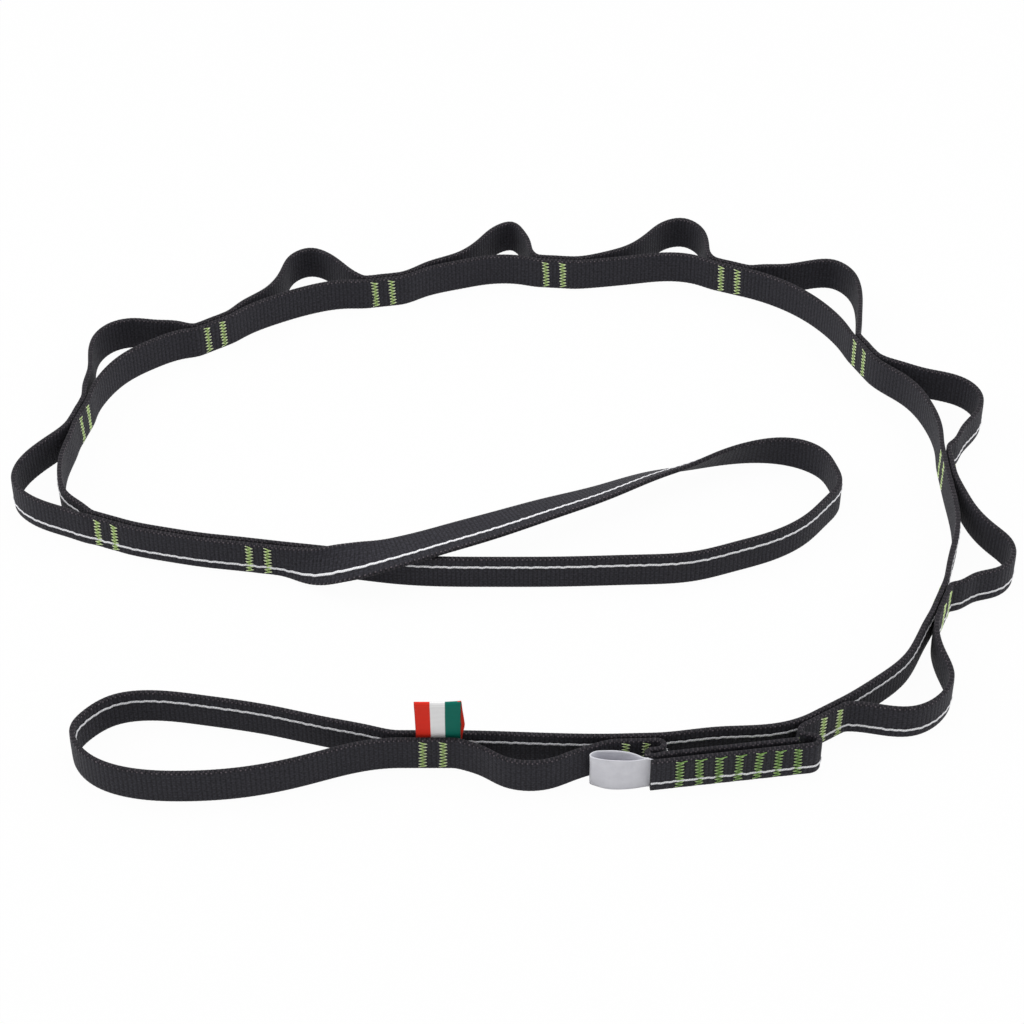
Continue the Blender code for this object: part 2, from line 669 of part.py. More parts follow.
def loop_section(point, normal):
    """The four corners of the rolled strip: its outer face's top and bottom, then its inner face's."""
    x, y, z, roll = point
    angle = math.radians(roll)
    right = Vector((float(normal[0]), float(normal[1]), 0.0))
    up = Vector((0.0, 0.0, 1.0))
    across = up * math.cos(angle) - right * math.sin(angle)
    face = right * math.cos(angle) + up * math.sin(angle)
    middle = Vector((float(x), float(y), float(z)))
    w, t = WEB_WIDTH / 2, WEB_THICKNESS / 2
    return [
        middle + across * w + face * t,
        middle - across * w + face * t,
        middle - across * w - face * t,
        middle + across * w - face * t,
    ]


# Label and tab


def ring_strip(bm, outer, inner, put, low, high):
    """A closed band between two loops of as many points, run between two levels by put."""
    rows = []
    for level in (low, high):
        rows.append([[bm.verts.new(put(p, level)) for p in loop] for loop in (outer, inner)])
    count = len(outer)
    for i in range(count):
        k = (i + 1) % count
        for row in rows:
            bm.faces.new((row[0][i], row[0][k], row[1][k], row[1][i]))
        for loop in (0, 1):
            bm.faces.new((rows[0][loop][i], rows[0][loop][k], rows[1][loop][k], rows[1][loop][i]))


def build_label(lap, origins, parents):
    """The folded label: its tail in the splice, and the loop that swings at the splice's end."""
    thick = LABEL_THICKNESS
    hinge = lap.middle - lap.along * LABEL_HINGE_STANDOFF
    low = (WEB_WIDTH - LABEL_HEIGHT) / 2
    high = low + LABEL_HEIGHT
    radius = thick
    start = hinge + lap.along * (radius + FIT_GAP)
    end = hinge + lap.along * LABEL_TAIL
    left = [start + lap.out * thick, end + lap.out * thick]
    right = [start - lap.out * thick, end - lap.out * thick]
    bm = raised_strip(left, right, [], [], low, high)
    tail = new_object("label_tail", bm, "grey_label", origins["splice"], parents["splice"])
    slotted(tail, [(lap.tack(0), lap.heading)], parents["splice"])

    pocket = lap.pocket
    scale = LABEL_LENGTH / (PITCH * (LAP_START_SHARE[0] - min(u for u, v in LABEL_LOOP_SHARES)))
    anchor = np.array(LAP_START_SHARE)
    points = [hinge - lap.along * radius / 2 + lap.out * radius / 2]
    for share in LABEL_LOOP_SHARES:
        u, v = anchor + (np.array(share) - anchor) * (scale, 1.0)
        points.append(pocket.at((u, v)))
    points.append(hinge - lap.along * radius / 2 - lap.out * radius / 2)
    fine = spline(points, -lap.along, lap.along)
    keep = thinned(fine, BEND_STEP_DEG)
    normals = right_normals(fine, -lap.along, lap.along)[keep]
    line = fine[keep]
    outer = list(line - normals * thick / 2)
    inner = list(line + normals * thick / 2)
    # the two leaves meet in a round root on the hinge's axis
    outer.append(hinge + lap.along * radius)
    inner.append(hinge - lap.along * radius)
    bm = bmesh.new()
    ring_strip(bm, outer, inner, lambda p, z: (float(p[0]), float(p[1]), z), low, high)
    new_object("label_loop", bm, "grey_label", hinge, parents["label"])
    return hinge


def build_tab(origin, parent, tab_parent):
    """The striped tab: its tail between the strands, and the folded ribbon that stands on it."""
    pair = PAIRS[0]
    thick = TAB_THICKNESS
    half_width = TAB_WIDTH / 2
    radius = thick + FIT_GAP / 2
    axis_z = WEB_WIDTH + radius + FIT_GAP
    a = [pair.at(TAB_OFFSET + k * half_width, thick) for k in (-1, 1)]
    b = [pair.at(TAB_OFFSET + k * half_width, -thick) for k in (-1, 1)]
    bm = raised_strip(a, b, [], [], WEB_WIDTH - TAB_TAIL, WEB_WIDTH)
    tail = new_object("tab_tail", bm, "striped_ribbon", origin, parent)
    slotted(tail, [(tack_place(pair, k), pair.heading) for k in (-1, 1)], parent)

    # each leaf's outside and inside, from the round root up, then the fold between the leaves
    top = WEB_WIDTH + TAB_HEIGHT - axis_z
    spread = TAB_FOLD_OPEN / 2 + thick
    outside = [(radius, 0.0)] + [(spread * a, top * b) for a, b in TAB_LEAF_SHARES]
    inside = [(radius / 2, radius)] + [((spread - thick) * a, top * b) for a, b in TAB_LEAF_SHARES[:-1]]
    inside.append(((spread - thick) / 2, top - thick))
    outer = [(0.0, -radius)] + outside + [(0.0, top)] + [(-n, z) for n, z in outside[::-1]]
    inner = [(0.0, radius / 2)] + inside + [(0.0, top - thick)] + [(-n, z) for n, z in inside[::-1]]

    def put(p, s):
        n, z = p
        x, y = pair.at(TAB_OFFSET + s, n)
        return (float(x), float(y), axis_z + z)

    bm = bmesh.new()
    ring_strip(bm, outer, inner, put, -half_width, half_width)
    hinge = pair.at(TAB_OFFSET, 0.0)
    new_object("tab_loop", bm, "striped_ribbon", (hinge[0], hinge[1], axis_z), tab_parent)


def main():
    clear_scene()
    chain = bpy.data.objects.new("chain_middle", None)
    bpy.context.scene.collection.objects.link(chain)

    # pocket 0 is the small loop, pocket 13 the big one; each turns about the hinge on the side
    # of the pocket that holds the rest
    origins, parents = {}, {}
    for number in range(LAST_PAIR + 2):
        if number < ROOT_POCKET:
            origins[number] = PAIRS[number].hinge_point()
        elif number > ROOT_POCKET:
            origins[number] = PAIRS[number - 1].hinge_point()
        else:
            origins[number] = PAIRS[number].middle
        parents[number] = chain
    origins["splice"], parents["splice"] = origins[LAP_POCKET + 1], chain
    parents["label"] = chain

    for number, pocket in enumerate(POCKETS, start=1):
        origin = origins[number]
        standing_strand(
            f"spine_{number:02d}", pocket.beside(-1), pocket.first, pocket.last, -1, origin, chain
        )
        if number != LAP_POCKET + 1:
            standing_strand(
                f"slack_{number:02d}", pocket.slack_line(), pocket.first, pocket.last, 1, origin, chain
            )
    lap = build_splice(origins["splice"], chain)
    build_tacks(origins, parents)
    build_small_loop(origins[0], chain)
    build_big_loop(origins[LAST_PAIR + 1], chain)
    build_label(lap, origins, parents)
    build_tab(origins[1], chain, chain)

    # the origin goes under the middle of the chain
    bpy.context.view_layer.update()
    corners = [
        obj.matrix_world @ vertex.co
        for obj in bpy.data.objects
        if obj.type == "MESH" and not obj.hide_render
        for vertex in obj.data.vertices
    ]
    for axis in (0, 1):
        values = [c[axis] for c in corners]
        chain.location[axis] = -(min(values) + max(values)) / 2


main()
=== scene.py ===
"""Woven webbing, thread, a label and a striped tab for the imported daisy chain, and a plain stage."""

import json
import math
from functools import partial

import bmesh
import bpy
import numpy as np
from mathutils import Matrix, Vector


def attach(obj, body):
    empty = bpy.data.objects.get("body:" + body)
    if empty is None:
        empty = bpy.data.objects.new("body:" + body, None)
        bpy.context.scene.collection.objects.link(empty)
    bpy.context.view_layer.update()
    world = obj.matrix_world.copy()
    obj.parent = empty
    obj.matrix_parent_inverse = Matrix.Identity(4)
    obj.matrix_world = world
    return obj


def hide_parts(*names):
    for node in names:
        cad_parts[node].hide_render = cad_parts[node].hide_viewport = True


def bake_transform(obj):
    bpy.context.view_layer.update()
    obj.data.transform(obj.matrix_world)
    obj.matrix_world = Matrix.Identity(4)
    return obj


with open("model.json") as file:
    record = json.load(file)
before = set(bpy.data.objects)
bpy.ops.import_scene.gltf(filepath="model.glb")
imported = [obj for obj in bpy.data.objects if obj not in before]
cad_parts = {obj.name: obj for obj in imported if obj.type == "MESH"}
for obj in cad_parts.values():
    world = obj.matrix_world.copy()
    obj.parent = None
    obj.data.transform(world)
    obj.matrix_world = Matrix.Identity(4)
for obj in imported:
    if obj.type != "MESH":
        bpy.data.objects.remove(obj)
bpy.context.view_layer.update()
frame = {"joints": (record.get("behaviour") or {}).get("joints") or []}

bl_info = {
    "name": "Daisy Chain",
    "version": (1, 0, 0),
    "blender": (4, 5, 0),
    "location": "3D View > Sidebar > Daisy Chain",
    "description": "Dresses a packed climbing daisy chain: webbing, bar tacks, label, tab and stage",
    "category": "Add Mesh",
}

# The chain's plan, as the solids have it

PITCH = 0.0815
SMALL_LOOP_LENGTH = 0.144
BIG_LOOP_LENGTH = 0.2415
FIT_GAP = 0.0003
TAB_GAP = 0.0015  # between the strands at the first pair, where the tab's tail is
LABEL_GAP = 0.0012  # between the layers of the splice, where the label's tail is
SEWN_LENGTH = 0.014
END_HINGE_SETBACK = 0.0094
TACK_SPACING = 0.008
LAP_TACK_SPACING = 0.00785
LAP_TACKS = 7
LAP_FIRST_TACK = 0.0113
LABEL_LENGTH = 0.0225

# Places of the pairs of bar tacks: x and y as shares of the pitch, and the heading in degrees
PAIR_PLACE_SHARES = [
    (-0.381, -1.794, 0.0),
    (0.594, -1.806, 2.0),
    (1.536, -1.619, 33.0),
    (2.180, -0.834, 67.0),
    (2.331, 0.213, 92.0),
    (1.973, 1.168, 116.7),
    (1.271, 1.891, 159.0),
    (0.249, 1.945, 175.0),
    (-0.745, 1.771, 189.8),
    (-1.694, 1.375, 212.8),
    (-2.359, 0.610, 254.9),
    (-2.110, -0.265, 338.6),
    (-1.308, -0.448, 350.8),
]

# The spine's bow in each pocket: along the line between the two pairs, and out from it
SPINE_BOW_SHARES = [
    [],
    [(0.40, 0.036), (0.70, 0.068)],
    [(0.33, 0.085), (0.55, 0.108), (0.80, 0.055)],
    [(0.28, 0.048), (0.56, 0.080), (0.80, 0.050)],
    [(0.22, 0.085), (0.42, 0.128), (0.68, 0.105)],
    [(0.18, 0.066), (0.34, 0.112), (0.56, 0.128), (0.80, 0.086)],
    [(0.18, 0.070), (0.35, 0.098), (0.56, 0.062), (0.80, 0.012)],
    [(0.18, 0.062), (0.38, 0.100), (0.56, 0.084), (0.78, 0.042)],
    [(0.20, 0.062), (0.40, 0.096), (0.64, 0.086), (0.84, 0.048)],
    [(0.16, 0.070), (0.34, 0.142), (0.54, 0.172), (0.74, 0.138), (0.86, 0.085)],
    [(0.15, 0.080), (0.30, 0.152), (0.48, 0.200), (0.66, 0.190), (0.79, 0.115)],
    [(0.30, 0.024), (0.55, 0.020)],
]

# The slack strand's way round each pocket, in the same shares
SLACK_BOW_SHARES = [
    [(0.15, 0.036), (0.24, 0.075), (0.34, 0.138), (0.45, 0.165), (0.57, 0.148), (0.68, 0.095),
     (0.79, 0.047)],
    None,
    [(0.11, 0.070), (0.18, 0.190), (0.27, 0.315), (0.43, 0.372), (0.58, 0.335), (0.68, 0.225),
     (0.80, 0.105)],
    [(0.105, 0.075), (0.175, 0.160), (0.235, 0.275), (0.34, 0.350), (0.455, 0.335), (0.55, 0.255),
     (0.67, 0.158), (0.82, 0.085)],
    [(0.11, 0.090), (0.19, 0.185), (0.28, 0.315), (0.39, 0.400), (0.52, 0.392), (0.62, 0.315),
     (0.70, 0.215), (0.80, 0.118)],
    [(0.105, 0.072), (0.18, 0.172), (0.36, 0.375), (0.50, 0.455), (0.62, 0.446), (0.70, 0.357),
     (0.79, 0.210), (0.885, 0.105)],
    [(0.115, 0.072), (0.142, 0.190), (0.185, 0.345), (0.28, 0.416), (0.39, 0.382), (0.49, 0.262),
     (0.60, 0.142), (0.74, 0.066)],
    [(0.112, 0.070), (0.122, 0.180), (0.138, 0.285), (0.19, 0.380), (0.28, 0.360), (0.39, 0.262),
     (0.54, 0.148), (0.74, 0.084)],
    [(0.118, 0.070), (0.165, 0.180), (0.215, 0.320), (0.30, 0.410), (0.41, 0.394), (0.52, 0.272),
     (0.66, 0.152), (0.83, 0.086)],
    [(0.135, 0.125), (0.210, 0.232), (0.29, 0.346), (0.40, 0.410), (0.53, 0.396),
     (0.64, 0.316), (0.74, 0.213), (0.86, 0.124)],
    [(0.108, 0.092), (0.172, 0.176), (0.25, 0.288), (0.36, 0.390), (0.48, 0.426), (0.60, 0.383),
     (0.70, 0.295), (0.79, 0.185), (0.865, 0.088)],
    None,
]

# The lap of the splice, and how each of its layers turns back towards its pair of bar tacks
LAP_POCKET = 1
LAP_START_SHARE = (0.037, 0.1665)
LAP_END_SHARE = (0.800, 0.2077)
BACK_LAYER_END_SHARE = 0.775
FRONT_TURN_SHARES = [(0.845, 0.203), (0.866, 0.178), (0.848, 0.152), (0.810, 0.136), (0.786, 0.112),
                     (0.800, 0.085), (0.835, 0.067)]
BACK_TURN_SHARES = [(0.112, 0.040), (0.125, 0.060), (0.112, 0.082), (0.092, 0.0895), (0.047, 0.0887),
                    (0.030, 0.1058), (0.047, 0.1229)]

# The small loop, as shares of its length: back from the pair of tacks, and out from it
SMALL_LOOP_SHARES = [
    (0.20, 0.028), (0.35, 0.078), (0.50, 0.118), (0.68, 0.134), (0.82, 0.121), (0.92, 0.078),
    (0.972, 0.018), (0.984, -0.034), (0.956, -0.089), (0.89, -0.144), (0.79, -0.163), (0.64, -0.145),
    (0.46, -0.109), (0.29, -0.062), (0.17, -0.031),
]

# The big loop: along from the last pair and out from it, as shares of its length, the height of
# the strip's middle as a share of its width, and how far the strip has rolled over in degrees
BIG_LOOP_SHARES = [
    (0.076, 0.0125, 0.540, 12.0), (0.110, 0.0200, 0.665, 28.0), (0.144, 0.0222, 0.845, 48.0),
    (0.178, 0.0205, 1.000, 65.0), (0.212, 0.0120, 1.090, 80.0), (0.258, -0.0110, 1.112, 89.0),
    (0.305, -0.0400, 1.108, 93.0), (0.335, -0.0610, 1.080, 93.5), (0.395, -0.1040, 1.010, 96.0),
    (0.487, -0.1750, 0.880, 104.0), (0.570, -0.2390, 0.750, 114.0), (0.662, -0.3140, 0.630, 127.0),
    (0.710, -0.3450, 0.575, 137.0), (0.759, -0.3780, 0.540, 150.0), (0.826, -0.4110, 0.515, 164.0),
    (0.877, -0.4220, 0.504, 174.0), (0.924, -0.4156, 0.500, 180.0), (0.957, -0.3940, 0.500, 180.0),
    (0.975, -0.3640, 0.500, 180.0), (0.988, -0.3240, 0.500, 180.0), (0.970, -0.2765, 0.500, 180.0),
    (0.940, -0.2250, 0.500, 180.0), (0.883, -0.1695, 0.500, 180.0), (0.820, -0.1313, 0.500, 180.0),
    (0.757, -0.0979, 0.500, 180.0), (0.658, -0.0720, 0.500, 180.0), (0.527, -0.0458, 0.500, 180.0),
    (0.408, -0.0258, 0.500, 180.0), (0.244, -0.0060, 0.500, 180.0), (0.130, -0.0066, 0.500, 180.0),
]

# The folded label outside the splice, from the splice round the fold and back
LABEL_LOOP_SHARES = [
    (-0.040, 0.146), (-0.100, 0.138), (-0.167, 0.122), (-0.226, 0.092), (-0.246, 0.071),
    (-0.228, 0.057), (-0.184, 0.054), (-0.136, 0.060), (-0.068, 0.084), (-0.020, 0.114),
]

LAST_PAIR = len(PAIR_PLACE_SHARES) - 1

# How finely the pieces are drawn
FINE_STEP = 0.0004
RING_STEP_SHARE = 0.25  # of a rib
FACE_COLUMNS = 15
EDGE_STEPS = 5
PINCH_REACH = 0.0019  # how far from a bar tack the webbing is drawn in
PINCH_AT_EDGE = 0.35  # as a share of what the middle of the face is drawn in
PINCH_FLATTENS = 0.8  # of the ribs' depth
BEND_REACH = 0.0024  # how far from a hinge the webbing starts to bend
SHEET_STEP = 0.0005

# Shares of the webbing's thickness: how far its round edges reach out, how far its faces fall
# towards them, and how far out from the faces the second row of picks starts
EDGE_SHARE = 0.42
CROWN_SHARE = 0.06
SECOND_PICK_SHARE = 0.17

# The weave and the yarns. Noise scales are in features to a metre. The flecks are about a
# millimetre, as coarse as they need to be to show in the render.
WARP_COLUMN = 0.00105
FILAMENT_SCALES = (500.0, 4500.0, 1.0)  # along the strip and across it
DYE_SCALE = 60.0
FLECK_SCALE = 950.0
EDGE_BLEND = (-0.0002, 0.0003)  # from where the round edge starts
SPECK_BLEND = (1.4, 2.4)
SPECK_SHARES = (0.7, 0.2)  # in the first row of picks and in the second
TRACER_PLY = 0.0011
THREAD_PLY = 0.0009
LINT_SCALE = 1400.0
LINT_SLIP = 4.0  # of the plies' twist, in radians
SATIN_LINE = 0.0005
CREASE_SCALE = 180.0
RIBBON_RIB = 0.0007
PAPER_SCALE = 300.0

# The tracer's thread
TRACER_PLACE = -0.22  # across the strip, as a share of its width
TRACER_PERIOD = 0.0034
TRACER_LIFT = 0.0001
TRACER_PROUD = 0.00006
TRACER_SWAY = 0.0001
TRACER_HEIGHT = 0.00042
TRACER_SIDES = 8

# The sewing
PASS_STEPS = 6
THREAD_DIP = 0.00014
RUN_DEPTH = 0.00038  # of the straight runs under the zigzag
RUN_PLACE = 0.3
JUMP_HEIGHT = 0.45
# The jump thread from one tack to the next: how far along, how far sunk in, and how far up
JUMP_STEPS = [
    (0.0, 0.0, 0.0), (0.16, 0.0, 0.0005), (0.34, 0.0, 0.0008), (0.44, 0.0009, 0.0006),
    (0.92, 0.0009, 0.0),
]
TACK_LEAN = 0.045
THREAD_PROUD = 0.6  # of the thread's radius, above the face
STITCH_STRAY = 0.00022
STRAY_SCALE = 700.0
THREAD_SIDES = 6

# The label and the tab
LABEL_ROWS = 17
LABEL_TAIL = 0.0145
LABEL_HINGE_STANDOFF = 0.001
LABEL_LEAF_APART = 0.66  # from the tail's middle to a leaf's, in thicknesses
LABEL_WAVE = 0.00022
LABEL_RIPPLE = (23.0, 2.6)  # radians from end to end and from edge to edge
LABEL_CREASE_HEIGHT = 0.016
LABEL_TAIL_DROP = 0.003
TAB_COLUMNS = 31
TAB_STEP = 0.00045
TAB_TAIL = 0.009
TAB_OFFSET = 0.0022
TAB_FOLD_OPEN = 0.0009
TAB_ROOT_LEAVES = ((0.00027, -TAB_TAIL), (0.00027, -0.001), (0.0004, 0.001))
TAB_LEAF_SHARES = [(0.9, 0.22), (1.0, 0.55), (0.95, 0.85), (0.62, 0.955)]
TAB_ROOT_WIDTH_SHARE = 0.955
TAB_BACK_SHIFT = 0.0022
TAB_WAVE = 0.00025
TAB_CORNER = 0.0007

# The ribbon's stripes: where the second and third start, and the back leaf's red edge, as shares
STRIPE_STARTS = (0.335, 0.655)
STRIPE_BLUR = 0.006
VALLEY_SHADE_SHARE = 0.18
RIBBON_EDGE_DARKENING = 0.4
BACK_EDGE_START = 0.925
RIBBON_EDGE_BAND = (0.475, 0.495)  # from the ribbon's middle
RIBBON_FOLD_AT = 0.0275

# The photograph's camera, about the chain's own middle point
CAMERA_DISTANCE = 1.191
CAMERA_ELEVATION_DEG = 42.9
CAMERA_LENS_MM = 96.33
SENSOR_MM = 36.0
CLIP_RANGE = (0.05, 30.0)

# Studio light: each softbox's place, side in metres and power in watts
WORLD_LIGHT = 0.50
FLOOR_HALF = 4
FLOOR_WHITE = 0.965
SOFTBOXES = [
    ("softbox_left", (-1.3, 0.1, 0.9), 1.0, 10.0),
    ("softbox_right", (1.3, 0.3, 0.9), 1.0, 9.0),
    ("softbox_over", (0.0, -0.05, 0.75), 0.6, 1.6),
]


def linear(hex_colour):
    """An sRGB hex value as the linear RGBA that Blender's sockets take."""
    out = []
    for k in (1, 3, 5):
        c = int(hex_colour[k:k + 2], 16) / 255
        out.append(c / 12.92 if c <= 0.04045 else ((c + 0.055) / 1.055) ** 2.4)
    return (*out, 1.0)


# Shades that the panel doesn't show
DYE_PATCH = linear("#4b474c")
TRACER_SHADE = linear("#dcdce4")
# the splice thread's painted highlight, and its own green
SPLICE_THREAD_HIGHLIGHT = linear("#dcf2b4")
SPLICE_THREAD_DEEP = linear("#6f9f3c")
LABEL_SHADE = linear("#cdcdd5")
RIBBON_VALLEY_SHADE = linear("#2a2022")
RIBBON_EDGE_DARK = linear("#33211f")
PAPER_SHADES = (linear("#e8e8e8"), linear("#f0f0f0"))
WHITE = linear("#ffffff")


# What a user would change


def measure(name, description, default):
    return bpy.props.FloatProperty(name=name, description=description, default=default, unit="LENGTH")


def colour(name, description, hex_colour):
    return bpy.props.FloatVectorProperty(
        name=name, description=description, default=linear(hex_colour), size=4, subtype="COLOR")


class DaisySizes(bpy.types.PropertyGroup):
    web_width: measure("Webbing width", "Across the strip", 0.017)
    web_thickness: measure("Webbing thickness", "Through the strip", 0.0024)
    rib_pitch: measure("Rib pitch", "From one weft rib to the next", 0.0019)
    rib_depth: measure("Rib depth", "Of the valleys between ribs", 0.00013)
    pick_depth: measure("Edge pick depth", "Of the scallops along the woven edges", 0.00008)
    pinch: measure("Pinch", "How far a bar tack draws each face in", 0.00022)
    tracer_width: measure("Tracer width", "Of the pale thread woven along one face", 0.00115)
    tack_length: measure("Bar tack length", "Across the webbing", 0.0142)
    tack_width: measure("Bar tack width", "From one side of the zigzag to the other", 0.0037)
    tack_stitches: bpy.props.IntProperty(
        name="Zigzags", description="In one bar tack", default=8, min=2)
    thread_radius: measure("Thread radius", "Of the sewing thread", 0.00022)
    label_height: measure("Label height", "Of the folded label", 0.0162)
    label_thickness: measure("Label thickness", "Of one leaf", 0.0003)
    tab_width: measure("Tab width", "Of the striped ribbon", 0.0184)
    tab_height: measure("Tab height", "Above the webbing", 0.0185)
    tab_thickness: measure("Tab thickness", "Of one leaf", 0.00038)


class DaisyColours(bpy.types.PropertyGroup):
    yarn: colour("Webbing yarn", "The charcoal nylon", "#34343b")
    # the yarn's painted shade: the colour it takes in the valleys of the weave, between the ribs, along
    # the round edges and around the bar tacks
    yarn_painted_shade: colour("Between ribs", "The same yarn in the valleys", "#100f12")
    yarn_edge: colour("Edge specks", "Where the weft turns at the edges", "#7c7278")
    tracer: colour("Tracer", "The pale thread in one face", "#ffffff")
    # the thread's painted highlight, near white, on the tips of the zigzags and the crests of the plies;
    # its own green is the colour below
    thread: colour("Thread", "The bar tacks' sewing thread", "#ffffea")
    thread_deep: colour("Thread valleys", "Between the thread's plies", "#b2d66c")
    label: colour("Label", "The bare satin label", "#ededf3")
    ribbon_red: colour("First stripe", "Of the tab", "#ee3220")
    ribbon_white: colour("Middle stripe", "Of the tab", "#ffffff")
    ribbon_green: colour("Last stripe", "Of the tab", "#007060")


def sizes():
    return bpy.context.scene.daisy_sizes


def colours():
    return bpy.context.scene.daisy_colours


# Curves


def unit(line):
    return line / np.linalg.norm(line)


def rightward(along):
    """The direction to the right of another one, in plan."""
    return np.array([along[1], -along[0]])


def run_along(points):
    """How far along a path each of its points lies."""
    return np.concatenate([[0.0], np.cumsum(np.linalg.norm(np.diff(points, axis=0), axis=1))])


def spline(points, start, end):
    """A cubic curve through points of any number of values, leaving along start, arriving along end."""
    p = np.array(points, dtype=float)
    step = np.diff(run_along(p[:, :2]))
    count = len(p)
    matrix = np.zeros((count, count))
    right = np.zeros_like(p)
    matrix[0, 0] = matrix[-1, -1] = 1.0
    right[0], right[-1] = start, end
    for i in range(1, count - 1):
        matrix[i, i - 1] = step[i]
        matrix[i, i] = 2 * (step[i - 1] + step[i])
        matrix[i, i + 1] = step[i - 1]
        right[i] = 3 * (
            step[i] * (p[i] - p[i - 1]) / step[i - 1] + step[i - 1] * (p[i + 1] - p[i]) / step[i]
        )
    slope = np.linalg.solve(matrix, right)
    out = [p[0]]
    for i in range(count - 1):
        pieces = max(2, math.ceil(step[i] / FINE_STEP))
        for k in range(1, pieces + 1):
            t = k / pieces
            out.append(
                (2 * t**3 - 3 * t**2 + 1) * p[i]
                + (t**3 - 2 * t**2 + t) * step[i] * slope[i]
                + (3 * t**2 - 2 * t**3) * p[i + 1]
                + (t**3 - t**2) * step[i] * slope[i + 1]
            )
    return np.array(out)


def right_normals(points, start, end):
    """The unit vector to the right of travel at each point of a plan path."""
    ahead = np.gradient(points[:, :2], axis=0)
    ahead[0], ahead[-1] = start, end
    ahead /= np.linalg.norm(ahead, axis=1)[:, None]
    return np.stack([ahead[:, 1], -ahead[:, 0]], axis=1)


class Pair:
    """A pair of bar tacks: its middle, its heading, and the strands' places at its bend."""

    def __init__(self, index):
        x, y, heading = PAIR_PLACE_SHARES[index]
        self.index = index
        self.middle = np.array([x * PITCH, y * PITCH])
        self.heading = math.radians(heading)
        self.along = np.array([math.cos(self.heading), math.sin(self.heading)])
        self.out = rightward(self.along)
        self.gap = FIT_GAP if index else TAB_GAP
        self.offset = (sizes().web_thickness + self.gap) / 2
        self.stack = 2 * sizes().web_thickness + self.gap
        self.hinge = 0.0 if index else -END_HINGE_SETBACK
        self.bend_start = self.hinge - (TACK_SPACING / 2 if index else SEWN_LENGTH / 4)
        self.bend_end = self.hinge + TACK_SPACING / 2

    def at(self, s, n):
        return self.middle + s * self.along + n * self.out


class Pocket:
    """The frame of one pocket: along the line from one pair of tacks to the next, and out from it."""

    def __init__(self, pairs, index):
        self.first, self.last = pairs[index], pairs[index + 1]
        self.along = unit(self.last.middle - self.first.middle)
        self.out = rightward(self.along)
        self.spine_bow = SPINE_BOW_SHARES[index]
        self.slack_bow = SLACK_BOW_SHARES[index]

    def at(self, share):
        u, v = share
        return self.first.middle + PITCH * (u * self.along + v * self.out)

    def beside(self, side):
        """The fine middle line of a strand that keeps beside the middle line."""
        reach = SEWN_LENGTH / 2
        points = [self.first.at(reach, 0.0)] + [self.at(s) for s in self.spine_bow]
        points.append(self.last.at(-reach, 0.0))
        line = spline(points, self.first.along, self.last.along)
        normals = right_normals(line, self.first.along, self.last.along)
        run = np.linspace(0.0, 1.0, len(line))[:, None]
        return line + side * (self.first.offset * (1 - run) + self.last.offset * run) * normals

    def slack_line(self):
        if self.slack_bow is None:
            return self.beside(1)
        reach = SEWN_LENGTH / 2
        points = [self.first.at(reach, self.first.offset)] + [self.at(s) for s in self.slack_bow]
        points.append(self.last.at(-reach, self.last.offset))
        return spline(points, self.first.along, self.last.along)


class Lap:
    """The straight lap of the splice."""

    def __init__(self, pocket):
        self.pocket = pocket
        self.start, self.end = pocket.at(LAP_START_SHARE), pocket.at(LAP_END_SHARE)
        self.along = unit(self.end - self.start)
        self.out = rightward(self.along)
        self.heading = math.atan2(self.along[1], self.along[0])
        self.layers = sizes().web_thickness + LABEL_GAP
        self.stack = 2 * sizes().web_thickness + LABEL_GAP
        self.middle = self.start - self.out * self.layers / 2

    def tack(self, index, n=0.0):
        return self.middle + (LAP_FIRST_TACK + index * LAP_TACK_SPACING) * self.along + n * self.out


# The strip of webbing


